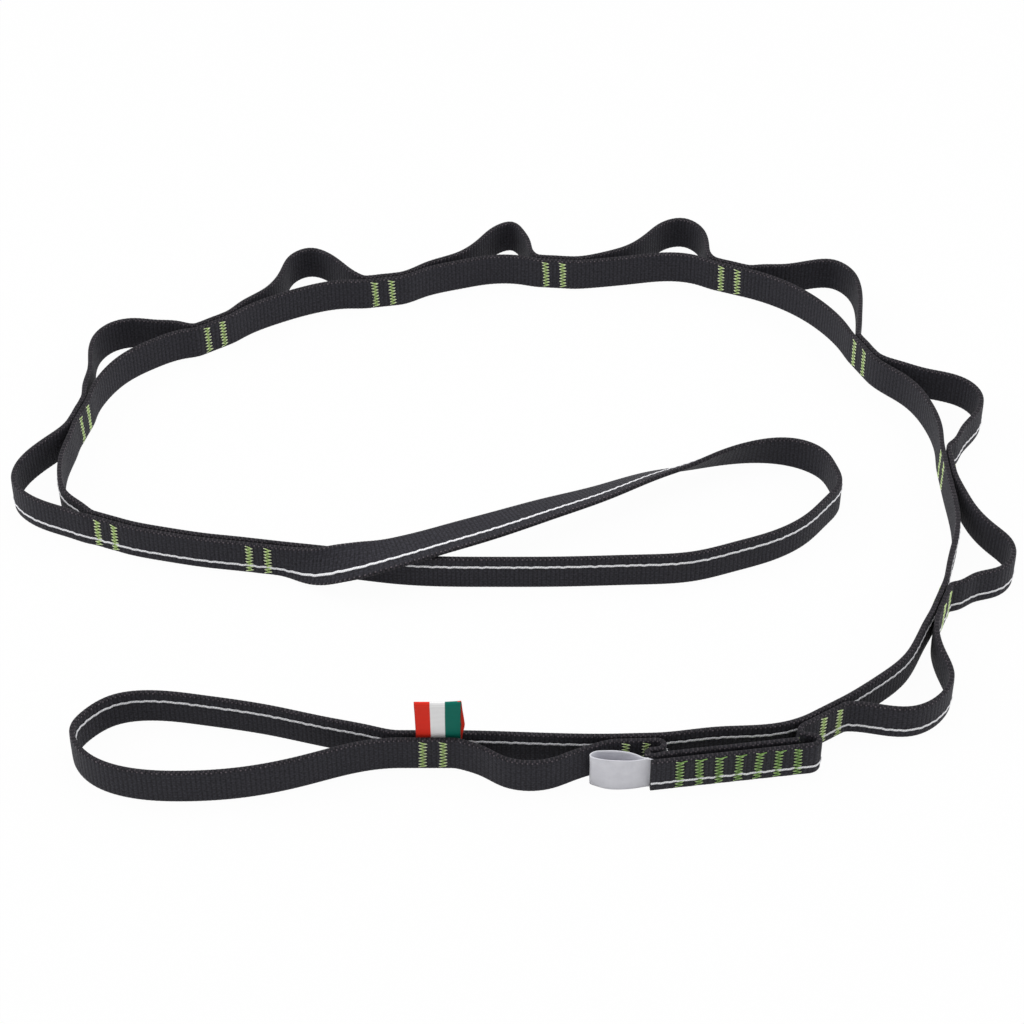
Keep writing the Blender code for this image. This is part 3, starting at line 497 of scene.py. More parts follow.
class Strip:
    """The chain's one strip of webbing, from one cut end to the other, as a fine path.

    Each point holds x, y, the height of the strip's middle and its roll in degrees. A stretch is
    a length of the path that moves with one body, or bends between two.
    """

    def __init__(self):
        self.points, self.starts, self.tacks = [], [], []
        self.height, self.roll = sizes().web_width / 2, 0.0

    def to(self, place):
        """Goes straight to a place in plan."""
        target = np.array([place[0], place[1], self.height, self.roll])
        if not self.points:
            self.points.append(target)
            return
        last = self.points[-1]
        pieces = max(1, math.ceil(float(np.linalg.norm(target[:2] - last[:2])) / FINE_STEP))
        for k in range(1, pieces + 1):
            self.points.append(last + (target - last) * k / pieces)

    def follow(self, line):
        self.to(line[0])
        for p in line[1:]:
            self.points.append(p if len(p) == 4 else np.array([p[0], p[1], self.height, self.roll]))

    def mark(self, name):
        """The stretch called name starts here."""
        self.starts.append((len(self.points) - 1, name))

    def tack(self, side=1):
        """A bar tack lies on one face of the strip here: 1 is the face with the tracer."""
        self.tacks.append((len(self.points) - 1, side))

    def close(self):
        p = np.array(self.points)
        step = np.linalg.norm(np.diff(p[:, :3], axis=0), axis=1)
        keep = np.concatenate([[True], step > 1e-9])
        index = np.cumsum(keep) - 1
        self.p = p[keep]
        self.arc = run_along(self.p[:, :3])
        ahead = np.gradient(self.p[:, :2], self.arc, axis=0)
        self.heading = np.unwrap(np.arctan2(ahead[:, 1], ahead[:, 0]))
        self.tack_arcs = [(self.arc[index[i]], side) for i, side in self.tacks]
        starts = [(index[i], name) for i, name in self.starts] + [(len(self.p) - 1, None)]
        self.stretches = {
            name: (self.arc[i], self.arc[j]) for (i, name), (j, _) in zip(starts, starts[1:])
        }
        return self

    def at(self, arcs):
        """Places, across directions and face directions at some arc lengths."""
        place = np.stack([np.interp(arcs, self.arc, self.p[:, k]) for k in range(3)], axis=1)
        roll = np.radians(np.interp(arcs, self.arc, self.p[:, 3]))[:, None]
        heading = np.interp(arcs, self.arc, self.heading)
        right = np.stack([np.sin(heading), -np.cos(heading), np.zeros(len(arcs))], axis=1)
        up = np.array([[0.0, 0.0, 1.0]])
        return place, up * np.cos(roll) - right * np.sin(roll), right * np.cos(roll) + up * np.sin(roll)

    def drawn_in(self, arcs, side):
        """How far the bar tacks on one face draw it in there."""
        depth = np.zeros(len(arcs))
        for arc, tack_side in self.tack_arcs:
            if tack_side == side:
                depth = np.maximum(depth, np.exp(-(((arcs - arc) / PINCH_REACH) ** 4)))
        return depth * sizes().pinch


class Plan:
    """Everything that the pieces share: the pairs, the pockets, the splice and the strip's path."""

    def __init__(self):
        self.pairs = [Pair(i) for i in range(LAST_PAIR + 1)]
        second = next(j for j in frame["joints"] if j["name"] == "bend_02")
        shift = np.array(second["pos_m"][:2]) - self.pairs[1].middle
        self.shift = Vector((float(shift[0]), float(shift[1]), 0.0))
        for pair in self.pairs:
            pair.middle = pair.middle + shift
        self.pockets = [Pocket(self.pairs, i) for i in range(LAST_PAIR)]
        self.lap = Lap(self.pockets[LAP_POCKET])
        self.strip = self.run_strip()

    def run_strip(self):
        strip, lap = Strip(), self.lap
        first, last = lap.pocket.first, lap.pocket.last
        reach = SEWN_LENGTH / 2

        strip.to(lap.start)
        strip.mark("splice_front")
        for i in range(LAP_TACKS):
            strip.to(lap.tack(i, lap.layers / 2))
            strip.tack()
        turn = [lap.end] + [lap.pocket.at(s) for s in FRONT_TURN_SHARES]
        strip.follow(spline(turn + [last.at(-reach, last.offset)], lap.along, last.along))
        for i in range(LAP_POCKET + 1, LAST_PAIR):
            self.cross(strip, i, 1, f"slack_{i + 1:02d}")
            strip.follow(self.pockets[i].slack_line())
        self.cross(strip, LAST_PAIR, 1, "big_loop")
        strip.follow(self.big_loop_line())
        strip.roll = 180.0
        for i in range(LAST_PAIR, 0, -1):
            self.cross(strip, i, -1, f"spine_{i:02d}")
            strip.follow(self.pockets[i - 1].beside(-1)[::-1])
        self.cross(strip, 0, -1, "small_loop")
        strip.follow(self.small_loop_line()[::-1])
        self.cross(strip, 0, 1, "slack_01")
        strip.follow(self.pockets[0].slack_line())
        self.cross(strip, 1, 1, "splice_back")
        turn = [first.at(reach, first.offset)] + [lap.pocket.at(s) for s in BACK_TURN_SHARES]
        back_start = lap.start - lap.out * lap.layers
        turn.append(back_start + lap.along * LAP_FIRST_TACK / 2)
        strip.follow(spline(turn, first.along, lap.along))
        for i in range(LAP_TACKS):
            strip.to(lap.tack(i, -lap.layers / 2))
            strip.tack(-1)
        lead = lap.pocket.at((BACK_LAYER_END_SHARE, 0.0)) - back_start
        strip.to(back_start + lap.along * float(lead @ lap.along))
        return strip.close()

    def cross(self, strip, index, travel, onward):
        """Takes the strip through a pair of bar tacks: 1 is on the slack side, and -1 on the spine
        side and back. The stretch called onward starts past the bend."""
        pair = self.pairs[index]
        names = [f"bend_{index + 1:02d}_{'slack' if travel > 0 else 'spine'}", onward]
        stops = [(pair.bend_start, None), (pair.bend_end, None)]
        stops += [(-TACK_SPACING / 2, 1), (TACK_SPACING / 2, 1)]
        for s, tack in sorted(stops, key=lambda stop: stop[0] * travel):
            strip.to(pair.at(s, travel * pair.offset))
            if tack:
                strip.tack()
            else:
                strip.mark(names.pop(0))

    def small_loop_line(self):
        pair = self.pairs[0]
        points = [pair.at(pair.bend_start, pair.offset)]
        points += [pair.at(-SMALL_LOOP_LENGTH * a, SMALL_LOOP_LENGTH * b) for a, b in SMALL_LOOP_SHARES]
        points.append(pair.at(pair.bend_start, -pair.offset))
        return spline(points, -pair.along, pair.along)

    def big_loop_line(self):
        pair, width = self.pairs[-1], sizes().web_width
        reach = SEWN_LENGTH / 2
        points = [(*pair.at(reach, pair.offset), width / 2, 0.0)]
        for a, b, height, roll in BIG_LOOP_SHARES:
            x, y = pair.at(a * BIG_LOOP_LENGTH, b * BIG_LOOP_LENGTH)
            points.append((x, y, height * width, roll))
        points.append((*pair.at(reach, -pair.offset), width / 2, 180.0))
        return spline(points, (*pair.along, 0.0, 0.0), (*(-pair.along), 0.0, 0.0))


_shared = {}


def once(maker):
    """Keeps what a maker returns the first time, so that every piece shares it."""
    def kept():
        if maker.__name__ not in _shared:
            _shared[maker.__name__] = maker()
        return _shared[maker.__name__]
    return kept


@once
def plan():
    return Plan()


def body_name(number):
    if number == 0:
        return "small_end_loop_body"
    if number > LAST_PAIR:
        return "big_end_loop_body"
    return f"pocket_{number:02d}_body"


# Meshes


def mesh_object(name, verts, faces, flat=()):
    """A smooth-shaded object with its place in its mesh; the faces in flat stay flat."""
    mesh = bpy.data.meshes.new(name)
    mesh.from_pydata([tuple(map(float, v)) for v in verts], [], faces)
    smooth = np.ones(len(faces), dtype=bool)
    smooth[list(flat)] = False
    mesh.polygons.foreach_set("use_smooth", smooth)
    obj = bpy.data.objects.new(name, mesh)
    bpy.context.scene.collection.objects.link(obj)
    return obj


def add_uv(mesh, name, values):
    """A UV map from one pair of values for each vertex."""
    corners = np.zeros(len(mesh.loops), dtype=np.int32)
    mesh.loops.foreach_get("vertex_index", corners)
    values = np.asarray(values, dtype=np.float32)[corners]
    mesh.uv_layers.new(name=name).uv.foreach_set("vector", values.ravel())


def add_point_attribute(mesh, name, kind, values):
    attribute = mesh.attributes.new(name, kind, "POINT")
    attribute.data.foreach_set("vector" if kind == "FLOAT_VECTOR" else "value", np.asarray(values).ravel())


def tube_faces(rings, around, first=0):
    """The faces of a closed tube: its sides, then its two ends."""
    faces = []
    for i in range(rings - 1):
        a, b = first + i * around, first + (i + 1) * around
        for j in range(around):
            k = (j + 1) % around
            faces.append((a + j, a + k, b + k, b + j))
    last = first + (rings - 1) * around
    faces.append(tuple(first + j for j in range(around))[::-1])
    faces.append(tuple(last + j for j in range(around)))
    return faces


def web_section():
    """The webbing's rounded section: offsets across and through, directions out, and shares.

    The shares say how much of a face and how much of an edge each point belongs to. It runs from
    the tracer's face at the far edge, over the near edge and back along the other face.
    """
    daisy = sizes()
    edge_out = daisy.web_thickness * EDGE_SHARE
    half = daisy.web_width / 2 - edge_out
    thick = daisy.web_thickness / 2
    crown = daisy.web_thickness * CROWN_SHARE
    points = []
    for side in (1, -1):
        for share in np.linspace(side, -side, FACE_COLUMNS):
            through = side * (thick - crown * share**4)
            points.append((half * share, through, 0.0, side, half * share, 1.0 - share**8, 0.0))
        for step in range(1, EDGE_STEPS + 1):
            angle = math.pi * step / (EDGE_STEPS + 1)
            out, through = math.sin(angle), math.cos(angle)
            run = half + edge_out * (1 - abs(1 - 2 * step / (EDGE_STEPS + 1)))
            points.append((
                -side * (half + edge_out * out), side * (thick - crown) * through,
                -side * out, side * through, -side * run, 0.0, out,
            ))
    return np.array(points)


def build_stretch(name, start, end):
    """One stretch of the webbing with its tracer, ready for its ribs."""
    daisy, strip = sizes(), plan().strip
    section = web_section()
    count = max(2, math.ceil((end - start) / (daisy.rib_pitch * RING_STEP_SHARE)))
    arcs = np.linspace(start, end, count + 1)
    place, across, face = strip.at(arcs)
    around = len(section)
    a, f, out_a, out_f, uv_v, face_share, edge_share = section.T

    # a bar tack flattens the face under it
    depth = np.where(f[None, :] > 0, strip.drawn_in(arcs, 1)[:, None], strip.drawn_in(arcs, -1)[:, None])
    through = f[None, :] - np.sign(f)[None, :] * depth * (
        PINCH_AT_EDGE + (1 - PINCH_AT_EDGE) * face_share[None, :])
    verts = place[:, None] + a[None, :, None] * across[:, None] + through[..., None] * face[:, None]
    outward = out_a[None, :, None] * across[:, None] + out_f[None, :, None] * face[:, None]
    spread = 1.0 - PINCH_FLATTENS * depth / daisy.pinch
    faces = tube_faces(len(arcs), around)
    sides = len(faces) - 2

    # the tracer is a flat thread that rises from the face and dips back into it
    wave = 2 * math.pi * arcs / TRACER_PERIOD
    lift = TRACER_LIFT * np.sin(wave) - strip.drawn_in(arcs, 1) + TRACER_PROUD
    sway = TRACER_SWAY * (np.sin(wave / 2.0 + 0.6) + 0.6 * np.sin(wave * 0.79))
    line = (
        place + (daisy.web_width * TRACER_PLACE + sway)[:, None] * across
        + (daisy.web_thickness * 0.5 + lift)[:, None] * face
    )
    turns = np.linspace(0, 2 * math.pi, TRACER_SIDES, endpoint=False)
    ring = (
        np.cos(turns)[None, :, None] * daisy.tracer_width / 2 * across[:, None]
        + np.sin(turns)[None, :, None] * TRACER_HEIGHT / 2 * face[:, None]
    )
    tracer = line[:, None] + ring
    tracer_faces = tube_faces(len(arcs), TRACER_SIDES, len(arcs) * around)

    all_verts = np.vstack([verts.reshape(-1, 3), tracer.reshape(-1, 3)])
    tracer_count = len(arcs) * TRACER_SIDES
    flat = [sides, sides + 1, len(faces) + len(tracer_faces) - 2, len(faces) + len(tracer_faces) - 1]
    obj = mesh_object(name, all_verts, faces + tracer_faces, flat)
    mesh = obj.data
    mesh.materials.append(webbing_material())
    mesh.materials.append(tracer_material())
    slots = np.zeros(len(faces) + len(tracer_faces), dtype=np.int32)
    slots[len(faces):] = 1
    mesh.polygons.foreach_set("material_index", slots)

    along = np.concatenate([np.repeat(arcs, around), np.repeat(arcs, TRACER_SIDES)])
    web_v = np.tile(uv_v, len(arcs))
    tracer_v = np.tile(turns / (2 * math.pi) * 2 * daisy.tracer_width, len(arcs))
    add_uv(mesh, "weave", np.stack([along, np.concatenate([web_v, tracer_v])], axis=1))
    add_point_attribute(mesh, "along", "FLOAT", along)
    # tack_shade: how far the bar tacks draw each face in, which the material paints as shadow around the
    # tacks
    for key, share in (
            ("rib", spread * face_share), ("pick", np.broadcast_to(edge_share, depth.shape)),
            ("tack_shade", depth / daisy.pinch * face_share)):
        add_point_attribute(mesh, key, "FLOAT", np.append(share.ravel(), np.zeros(tracer_count)))
    add_point_attribute(mesh, "outward", "FLOAT_VECTOR", np.vstack([
        outward.reshape(-1, 3), np.zeros((tracer_count, 3))]))
    return obj


# Geometry Nodes


MATH = "ShaderNodeMath"
VECTOR = "ShaderNodeVectorMath"
NOISE = "ShaderNodeTexNoise"
RANGE = "ShaderNodeMapRange"
MIX = "ShaderNodeMix"
BUMP = "ShaderNodeBump"
PRINCIPLED = "ShaderNodeBsdfPrincipled"
SURFACE = "ShaderNodeOutputMaterial"
ATTRIBUTE = "ShaderNodeAttribute"
NAMED = "GeometryNodeInputNamedAttribute"
STORE = "GeometryNodeStoreNamedAttribute"
MOVE = "GeometryNodeSetPosition"


def add(tree, kind, *values, **settings):
    """Adds a node with its settings, and sets its inputs or links them.

    The values go in order to the inputs that the settings leave in use, or one dict names them.
    A node among the values stands for its first output in use.
    """
    made = tree.nodes.new(kind)
    for key, value in settings.items():
        setattr(made, key, value)
    if values and isinstance(values[0], dict):
        pairs = [(made.inputs[key], value) for key, value in values[0].items()]
    else:
        sockets = [socket for socket in made.inputs if socket.enabled]
        if len(sockets) < len(values):
            raise RuntimeError(f"{kind} has {len(sockets)} inputs for {len(values)} values")
        pairs = zip(sockets, values)
    for socket, value in pairs:
        if isinstance(value, bpy.types.Node):
            value = next(output for output in value.outputs if output.enabled)
        if isinstance(value, bpy.types.NodeSocket):
            tree.links.new(value, socket)
        else:
            socket.default_value = value
    return made


def new_tree(name, inputs):
    """A geometry tree with named inputs, the function that adds nodes to it, and what it is given."""
    tree = bpy.data.node_groups.new(name, "GeometryNodeTree")
    for label, kind in {"Geometry": "Geometry", **inputs}.items():
        tree.interface.new_socket(label, in_out="INPUT", socket_type="NodeSocket" + kind)
    tree.interface.new_socket("Geometry", in_out="OUTPUT", socket_type="NodeSocketGeometry")
    return tree, partial(add, tree), add(tree, "NodeGroupInput").outputs


def swell(put, angle, operation="SINE"):
    """A wave between 0 and 1."""
    return put(MATH, put(MATH, angle, operation=operation), 0.5, 0.5, operation="MULTIPLY_ADD")


def grown(obj, tree, name, values):
    """A new plain object with obj's mesh as the tree makes it; obj itself is removed."""
    live = obj.modifiers.new(tree.name, "NODES")
    live.node_group = tree
    for socket in tree.interface.items_tree:
        if socket.item_type == "SOCKET" and socket.in_out == "INPUT" and socket.name in values:
            live[socket.identifier] = values[socket.name]
    graph = bpy.context.evaluated_depsgraph_get()
    mesh = bpy.data.meshes.new_from_object(obj.evaluated_get(graph), depsgraph=graph)
    mesh.name = name
    obj.modifiers.remove(live)
    bpy.data.objects.remove(obj)
    if not len(mesh.polygons):
        raise RuntimeError(f"{tree.name} made nothing for {name}")
    done = bpy.data.objects.new(name, mesh)
    bpy.context.scene.collection.objects.link(done)
    return done


@once
def rib_tree():
    """Weft ribs across both faces and the scallops of the picks along both edges."""
    tree, put, given = new_tree("Woven ribs", {
        "Rib pitch": "Float", "Rib depth": "Float", "Pick pitch": "Float", "Pick depth": "Float",
        "Webbing": "Material",
    })
    along = put(NAMED, {"Name": "along"}, data_type="FLOAT")
    outward = put(NAMED, {"Name": "outward"}, data_type="FLOAT_VECTOR")
    sinks = []
    for kind, weight in (("Rib", "rib"), ("Pick", "pick")):
        row = put(MATH, along, given[kind + " pitch"], operation="DIVIDE")
        valley_shade = swell(put, put(MATH, row, 2 * math.pi, operation="MULTIPLY"), "COSINE")
        sunk = put(MATH, valley_shade, given[kind + " depth"], operation="MULTIPLY")
        share = put(NAMED, {"Name": weight}, data_type="FLOAT")
        sinks.append(put(MATH, sunk, share, operation="MULTIPLY"))
    rise = put(MATH, put(MATH, *sinks, operation="ADD"), -1.0, operation="MULTIPLY")
    move = put(VECTOR, outward, rise, operation="SCALE")
    cloth = put(MOVE, {"Geometry": given["Geometry"], "Offset": move})
    for name in ("along", "rib", "pick", "outward"):
        cloth = put("GeometryNodeRemoveAttribute", {"Geometry": cloth, "Name": name})
    real = put("GeometryNodeRealizeInstances", {"Geometry": cloth})
    # the tracer's faces keep their own material, which is the second
    woven = put(MATH, put("GeometryNodeInputMaterialIndex"), 0.5, operation="LESS_THAN")
    done = put("GeometryNodeSetMaterial", {
        "Geometry": real, "Selection": woven, "Material": given["Webbing"]})
    put("NodeGroupOutput", {"Geometry": done})
    return tree


@once
def tack_tree():
    """Bar tacks on the points marked as tacked, and plain thread along the edges."""
    tree, put, given = new_tree("Bar tacks", {
        "Tack length": "Float", "Tack width": "Float", "Zigzags": "Int", "Thread radius": "Float",
        "Dip": "Float", "Thread": "Material",
    })
    passes = put(MATH, given["Zigzags"], 2.0, operation="MULTIPLY")
    steps = put(MATH, passes, float(PASS_STEPS), operation="MULTIPLY")
    count = put(MATH, steps, 1.0, operation="ADD")
    line = put("GeometryNodeMeshLine", {"Count": count}, mode="OFFSET")
    index = put("GeometryNodeInputIndex")
    # back and forth across the tack, once up and down for each zigzag
    half_way = put(MATH, index, float(PASS_STEPS), operation="DIVIDE")
    swing = put(MATH, half_way, 1.0, operation="PINGPONG")
    side = put(MATH, swing, 2.0, -1.0, operation="MULTIPLY_ADD")
    tip = put(MATH, side, operation="ABSOLUTE")
    half_width = put(MATH, given["Tack width"], 0.5, operation="MULTIPLY")
    reach = put(MATH, half_width, given["Thread radius"], operation="SUBTRACT")
    share = put(MATH, put(MATH, index, steps, operation="DIVIDE"), 0.5, operation="SUBTRACT")
    x = put(MATH, side, reach, operation="MULTIPLY")
    y = put(MATH, put(MATH, tip, 4.0, operation="POWER"), given["Dip"], operation="MULTIPLY")
    z = put(MATH, share, given["Tack length"], operation="MULTIPLY")
    bent = put(MOVE, {"Geometry": line, "Position": put("ShaderNodeCombineXYZ", x, y, z)})
    parts = [put(STORE, {"Geometry": bent, "Name": "tip", "Value": tip},
                 data_type="FLOAT", domain="POINT")]

    # two straight runs lie under the zigzag
    end = put(MATH, index, 0.5, operation="SUBTRACT")
    end = put(MATH, end, given["Tack length"], operation="MULTIPLY")
    for place in (-RUN_PLACE, RUN_PLACE):
        run = put("GeometryNodeMeshLine", {"Count": 2}, mode="OFFSET")
        x = put(MATH, reach, place, operation="MULTIPLY")
        place = put("ShaderNodeCombineXYZ", x, RUN_DEPTH, end)
        parts.append(put(MOVE, {"Geometry": run, "Position": place}))
    tack = put("GeometryNodeJoinGeometry")
    for part in parts:
        tree.links.new(part.outputs[0], tack.inputs[0])

    turn = put(NAMED, {"Name": "turn"}, data_type="FLOAT_VECTOR")
    tacked = put(NAMED, {"Name": "tacked"}, data_type="BOOLEAN")
    placed = put("GeometryNodeInstanceOnPoints", {
        "Points": given["Geometry"], "Instance": tack, "Selection": tacked, "Rotation": turn})
    real = put("GeometryNodeRealizeInstances", {"Geometry": placed})
    # no two stitches land quite alike
    noise = put(NOISE, {
        "Vector": put("GeometryNodeInputPosition"), "Scale": STRAY_SCALE, "Detail": 0.0})
    centred = put(VECTOR, noise.outputs["Color"], (0.5, 0.5, 0.5), operation="SUBTRACT")
    stray = put(VECTOR, centred, STITCH_STRAY * 2, operation="SCALE")
    strayed = put(MOVE, {"Geometry": real, "Offset": stray})
    lines = put("GeometryNodeJoinGeometry")
    for part in (strayed.outputs[0], given["Geometry"]):
        tree.links.new(part, lines.inputs[0])
    curve = put("GeometryNodeMeshToCurve", {"Mesh": lines})
    run_length = put("GeometryNodeSplineParameter").outputs["Length"]
    kept = put(STORE, {"Geometry": curve, "Name": "thread_run", "Value": run_length},
               data_type="FLOAT", domain="POINT")
    ring = put("GeometryNodeCurvePrimitiveCircle", {
        "Resolution": THREAD_SIDES, "Radius": given["Thread radius"]})
    tube = put("GeometryNodeCurveToMesh", {"Curve": kept, "Profile Curve": ring, "Fill Caps": True})
    shaded = put("GeometryNodeSetShadeSmooth", {"Geometry": tube})
    done = put("GeometryNodeSetMaterial", {"Geometry": shaded, "Material": given["Thread"]})
    put("NodeGroupOutput", {"Geometry": done})
    return tree


def stitched(name, places, edges, material):
    """One object of bar tacks, each at a point and an angle, and of thread along the edges.

    A place without an angle is a point of the plain thread.
    """
    mesh = bpy.data.meshes.new(name + "_places")
    mesh.from_pydata([tuple(map(float, p)) for p, _ in places], edges, [])
    add_point_attribute(mesh, "turn", "FLOAT_VECTOR", [
        (0.0, TACK_LEAN * math.sin(3.7 * i + len(name)), 0.0 if turn is None else turn)
        for i, (_, turn) in enumerate(places)])
    add_point_attribute(mesh, "tacked", "BOOLEAN", [turn is not None for _, turn in places])
    carrier = bpy.data.objects.new(name + "_places", mesh)
    bpy.context.scene.collection.objects.link(carrier)
    daisy = sizes()
    return grown(carrier, tack_tree(), name, {
        "Tack length": daisy.tack_length, "Tack width": daisy.tack_width,
        "Zigzags": daisy.tack_stitches, "Thread radius": daisy.thread_radius,
        "Dip": THREAD_DIP, "Thread": material,
    })


def tack_places(middle, heading, stack):
    """The two faces of a stitched stack at a bar tack: a point and a turn for each."""
    daisy = sizes()
    out = np.array([math.sin(heading), -math.cos(heading)])
    reach = stack / 2 - daisy.pinch + daisy.thread_radius * THREAD_PROUD
    height = daisy.web_width / 2
    return [((*(middle + side * reach * out), height), heading + (0.0 if side > 0 else math.pi))
            for side in (1, -1)]


# Sheets


def sheet_object(name, grid, sides, thickness):
    """A closed thin sheet about a grid of points, with the direction to each one's outer side."""
    rows, columns = grid.shape[:2]
    top = grid + sides * thickness / 2
    bottom = grid - sides * thickness / 2
    verts = np.vstack([top.reshape(-1, 3), bottom.reshape(-1, 3)])
    half = rows * columns
    faces = []
    for i in range(rows - 1):
        for j in range(columns - 1):
            a, d = i * columns + j, (i + 1) * columns + j
            b, c = a + 1, d + 1
            faces.append((a, b, c, d))
            faces.append((half + d, half + c, half + b, half + a))
    rim = list(range(columns))
    rim += [i * columns + columns - 1 for i in range(1, rows)]
    rim += [(rows - 1) * columns + j for j in range(columns - 2, -1, -1)]
    rim += [i * columns for i in range(rows - 2, 0, -1)]
    first_rim = len(faces)
    for a, b in zip(rim, rim[1:] + rim[:1]):
        faces.append((b, a, half + a, half + b))
    obj = mesh_object(name, verts, faces, range(first_rim, len(faces)))
    bm = bmesh.new()
    bm.from_mesh(obj.data)
    bmesh.ops.recalc_face_normals(bm, faces=bm.faces)
    bm.to_mesh(obj.data)
    bm.free()
    run = run_along(grid[:, columns // 2])
    across = np.linspace(0.0, 1.0, columns)
    uv = np.stack(np.meshgrid(run, across, indexing="ij"), axis=-1).reshape(-1, 2)
    add_uv(obj.data, "cloth", np.vstack([uv, uv]))
    return obj, float(run[-1])


def even(path, step):
    """A path's points again, the same distance apart."""
    run = run_along(path)
    count = max(2, math.ceil(run[-1] / step))
    at = np.linspace(0.0, run[-1], count + 1)
    return np.stack([np.interp(at, run, path[:, k]) for k in range(path.shape[1])], axis=1)


def leftward(path):
    ahead = np.gradient(path, axis=0)
    ahead /= np.linalg.norm(ahead, axis=1)[:, None]
    return np.stack([-ahead[:, 1], ahead[:, 0]], axis=1)


# Materials


def new_material(name):
    """An empty node material, and the function that adds nodes to it."""
    material = bpy.data.materials.new(name)
    material.use_nodes = True
    material.node_tree.nodes.clear()
    return material, partial(add, material.node_tree)


def cloth_place(put, uv_map):
    """Where a point lies on the cloth: how far along it, and how far across."""
    parts = put("ShaderNodeSeparateXYZ", put("ShaderNodeUVMap", uv_map=uv_map))
    return parts.outputs["X"], parts.outputs["Y"]


@once
def webbing_material():
    """Woven nylon webbing: a matt charcoal plain weave with ribs, and specks where the weft turns."""
    material, put = new_material("woven_nylon_webbing")
    daisy, tone = sizes(), colours()
    u, v = cloth_place(put, "weave")

    def arches(steps, power):
        """Rounded ridges, one for each whole step."""
        wave = put(MATH, put(MATH, steps, math.pi, operation="MULTIPLY"), operation="SINE")
        return put(MATH, put(MATH, wave, operation="ABSOLUTE"), power, operation="POWER")

    column = put(MATH, v, WARP_COLUMN, operation="DIVIDE")
    row = put(MATH, u, daisy.rib_pitch, operation="DIVIDE")
    # every second warp column goes over where its neighbours go under
    odd = put(MATH, put(MATH, column, operation="FLOOR"), 1.0, operation="PINGPONG")
    knuckles = arches(put(MATH, odd, 0.5, row, operation="MULTIPLY_ADD"), 0.5)
    height = put(MATH, knuckles, arches(column, 0.5), operation="MULTIPLY")
    rib = arches(row, 0.7)

    # filaments run along the strip, and the dye is a little uneven
    place = put("ShaderNodeCombineXYZ", u, v)
    stretched = put(VECTOR, place, FILAMENT_SCALES, operation="MULTIPLY")
    filaments = put(NOISE, {"Vector": stretched, "Scale": 1.0, "Detail": 3.0, "Roughness": 0.6})
    patches = put(NOISE, {"Vector": place, "Scale": DYE_SCALE, "Detail": 2.0, "Roughness": 0.5})
    flecks = put(NOISE, {"Vector": place, "Scale": FLECK_SCALE, "Detail": 1.0, "Roughness": 0.6})
    # painted shade in the valleys of the weave and between the ribs; the filaments and flecks are the
    # yarn's own uneven tone
    painted_shade_and_tone = put(MATH, height, 0.6, 0.4, operation="MULTIPLY_ADD")
    for part, gain, base in ((rib, 0.75, 0.25), (filaments, 0.9, 0.5), (flecks, 3.2, -0.6)):
        factor = put(MATH, part, gain, base, operation="MULTIPLY_ADD")
        painted_shade_and_tone = put(MATH, painted_shade_and_tone, factor, operation="MULTIPLY")
    cloth = put(MIX, painted_shade_and_tone, tone.yarn_painted_shade, tone.yarn, data_type="RGBA")

    # two rows of picks, one on each side of the edge's middle
    edge = daisy.web_width / 2 - daisy.web_thickness * EDGE_SHARE
    from_edge = put(MATH, put(MATH, v, operation="ABSOLUTE"), edge, operation="SUBTRACT")
    # the round edges, where the specks lie and where the yarn also takes painted shade below
    at_edge = put(RANGE, from_edge, *EDGE_BLEND)
    second = put(MATH, from_edge, daisy.web_thickness * SECOND_PICK_SHARE, operation="GREATER_THAN")
    half_turn = put(MATH, second, math.pi, operation="MULTIPLY")
    turns = put(MATH, u, 2 * math.pi / daisy.rib_pitch, half_turn, operation="MULTIPLY_ADD")
    pick = put(MATH, flecks, 2.4, put(MATH, turns, operation="SINE"), operation="MULTIPLY_ADD")
    weight = put(MATH, second, SPECK_SHARES[1] - SPECK_SHARES[0], SPECK_SHARES[0],
                 operation="MULTIPLY_ADD")
    specks = put(MATH, at_edge, put(RANGE, pick, *SPECK_BLEND), operation="MULTIPLY")
    specks = put(MATH, specks, weight, operation="MULTIPLY")

    # painted shadow around the bar tacks and painted shade along the round edges; the dye patches and the
    # edge specks are the yarn's own colour
    tack_shade = put(ATTRIBUTE, attribute_name="tack_shade").outputs["Fac"]
    for part, share, tint in (
            (patches, 0.12, DYE_PATCH), (tack_shade, 0.75, tone.yarn_painted_shade),
            (at_edge, 0.5, tone.yarn_painted_shade), (specks, 1.0, tone.yarn_edge)):
        cloth = put(MIX, put(MATH, part, share, operation="MULTIPLY"), cloth, tint, data_type="RGBA")

    relief = put(MATH, height, rib, operation="MULTIPLY")
    for part, share in ((filaments, 0.35), (specks, 0.8)):
        relief = put(MATH, part, share, relief, operation="MULTIPLY_ADD")
    put(SURFACE, put(PRINCIPLED, {
        "Base Color": cloth, "Roughness": put(RANGE, filaments, 0.0, 1.0, 0.62, 0.82),
        "Specular IOR Level": 0.15, "Sheen Weight": 0.05, "Sheen Roughness": 0.4,
        "Normal": put(BUMP, {"Height": relief, "Strength": 0.8, "Distance": 0.00018}),
    }))
    return material


@once
def tracer_material():
    """Bright polyester yarn: pale, soft and loosely twisted, so faint slanting plies show."""
    material, put = new_material("tracer_yarn")
    u, v = cloth_place(put, "weave")
    slant = put(MATH, v, 2 * math.pi / sizes().tracer_width, operation="MULTIPLY")
    twist = put(MATH, u, 2 * math.pi / TRACER_PLY, slant, operation="MULTIPLY_ADD")
    ply = swell(put, twist)
    put(SURFACE, put(PRINCIPLED, {
        "Base Color": put(MIX, ply, TRACER_SHADE, colours().tracer, data_type="RGBA"),
        "Roughness": 0.6, "Sheen Weight": 0.15,
        "Normal": put(BUMP, {"Height": ply, "Strength": 0.5, "Distance": 0.00006}),
    }))
    return material


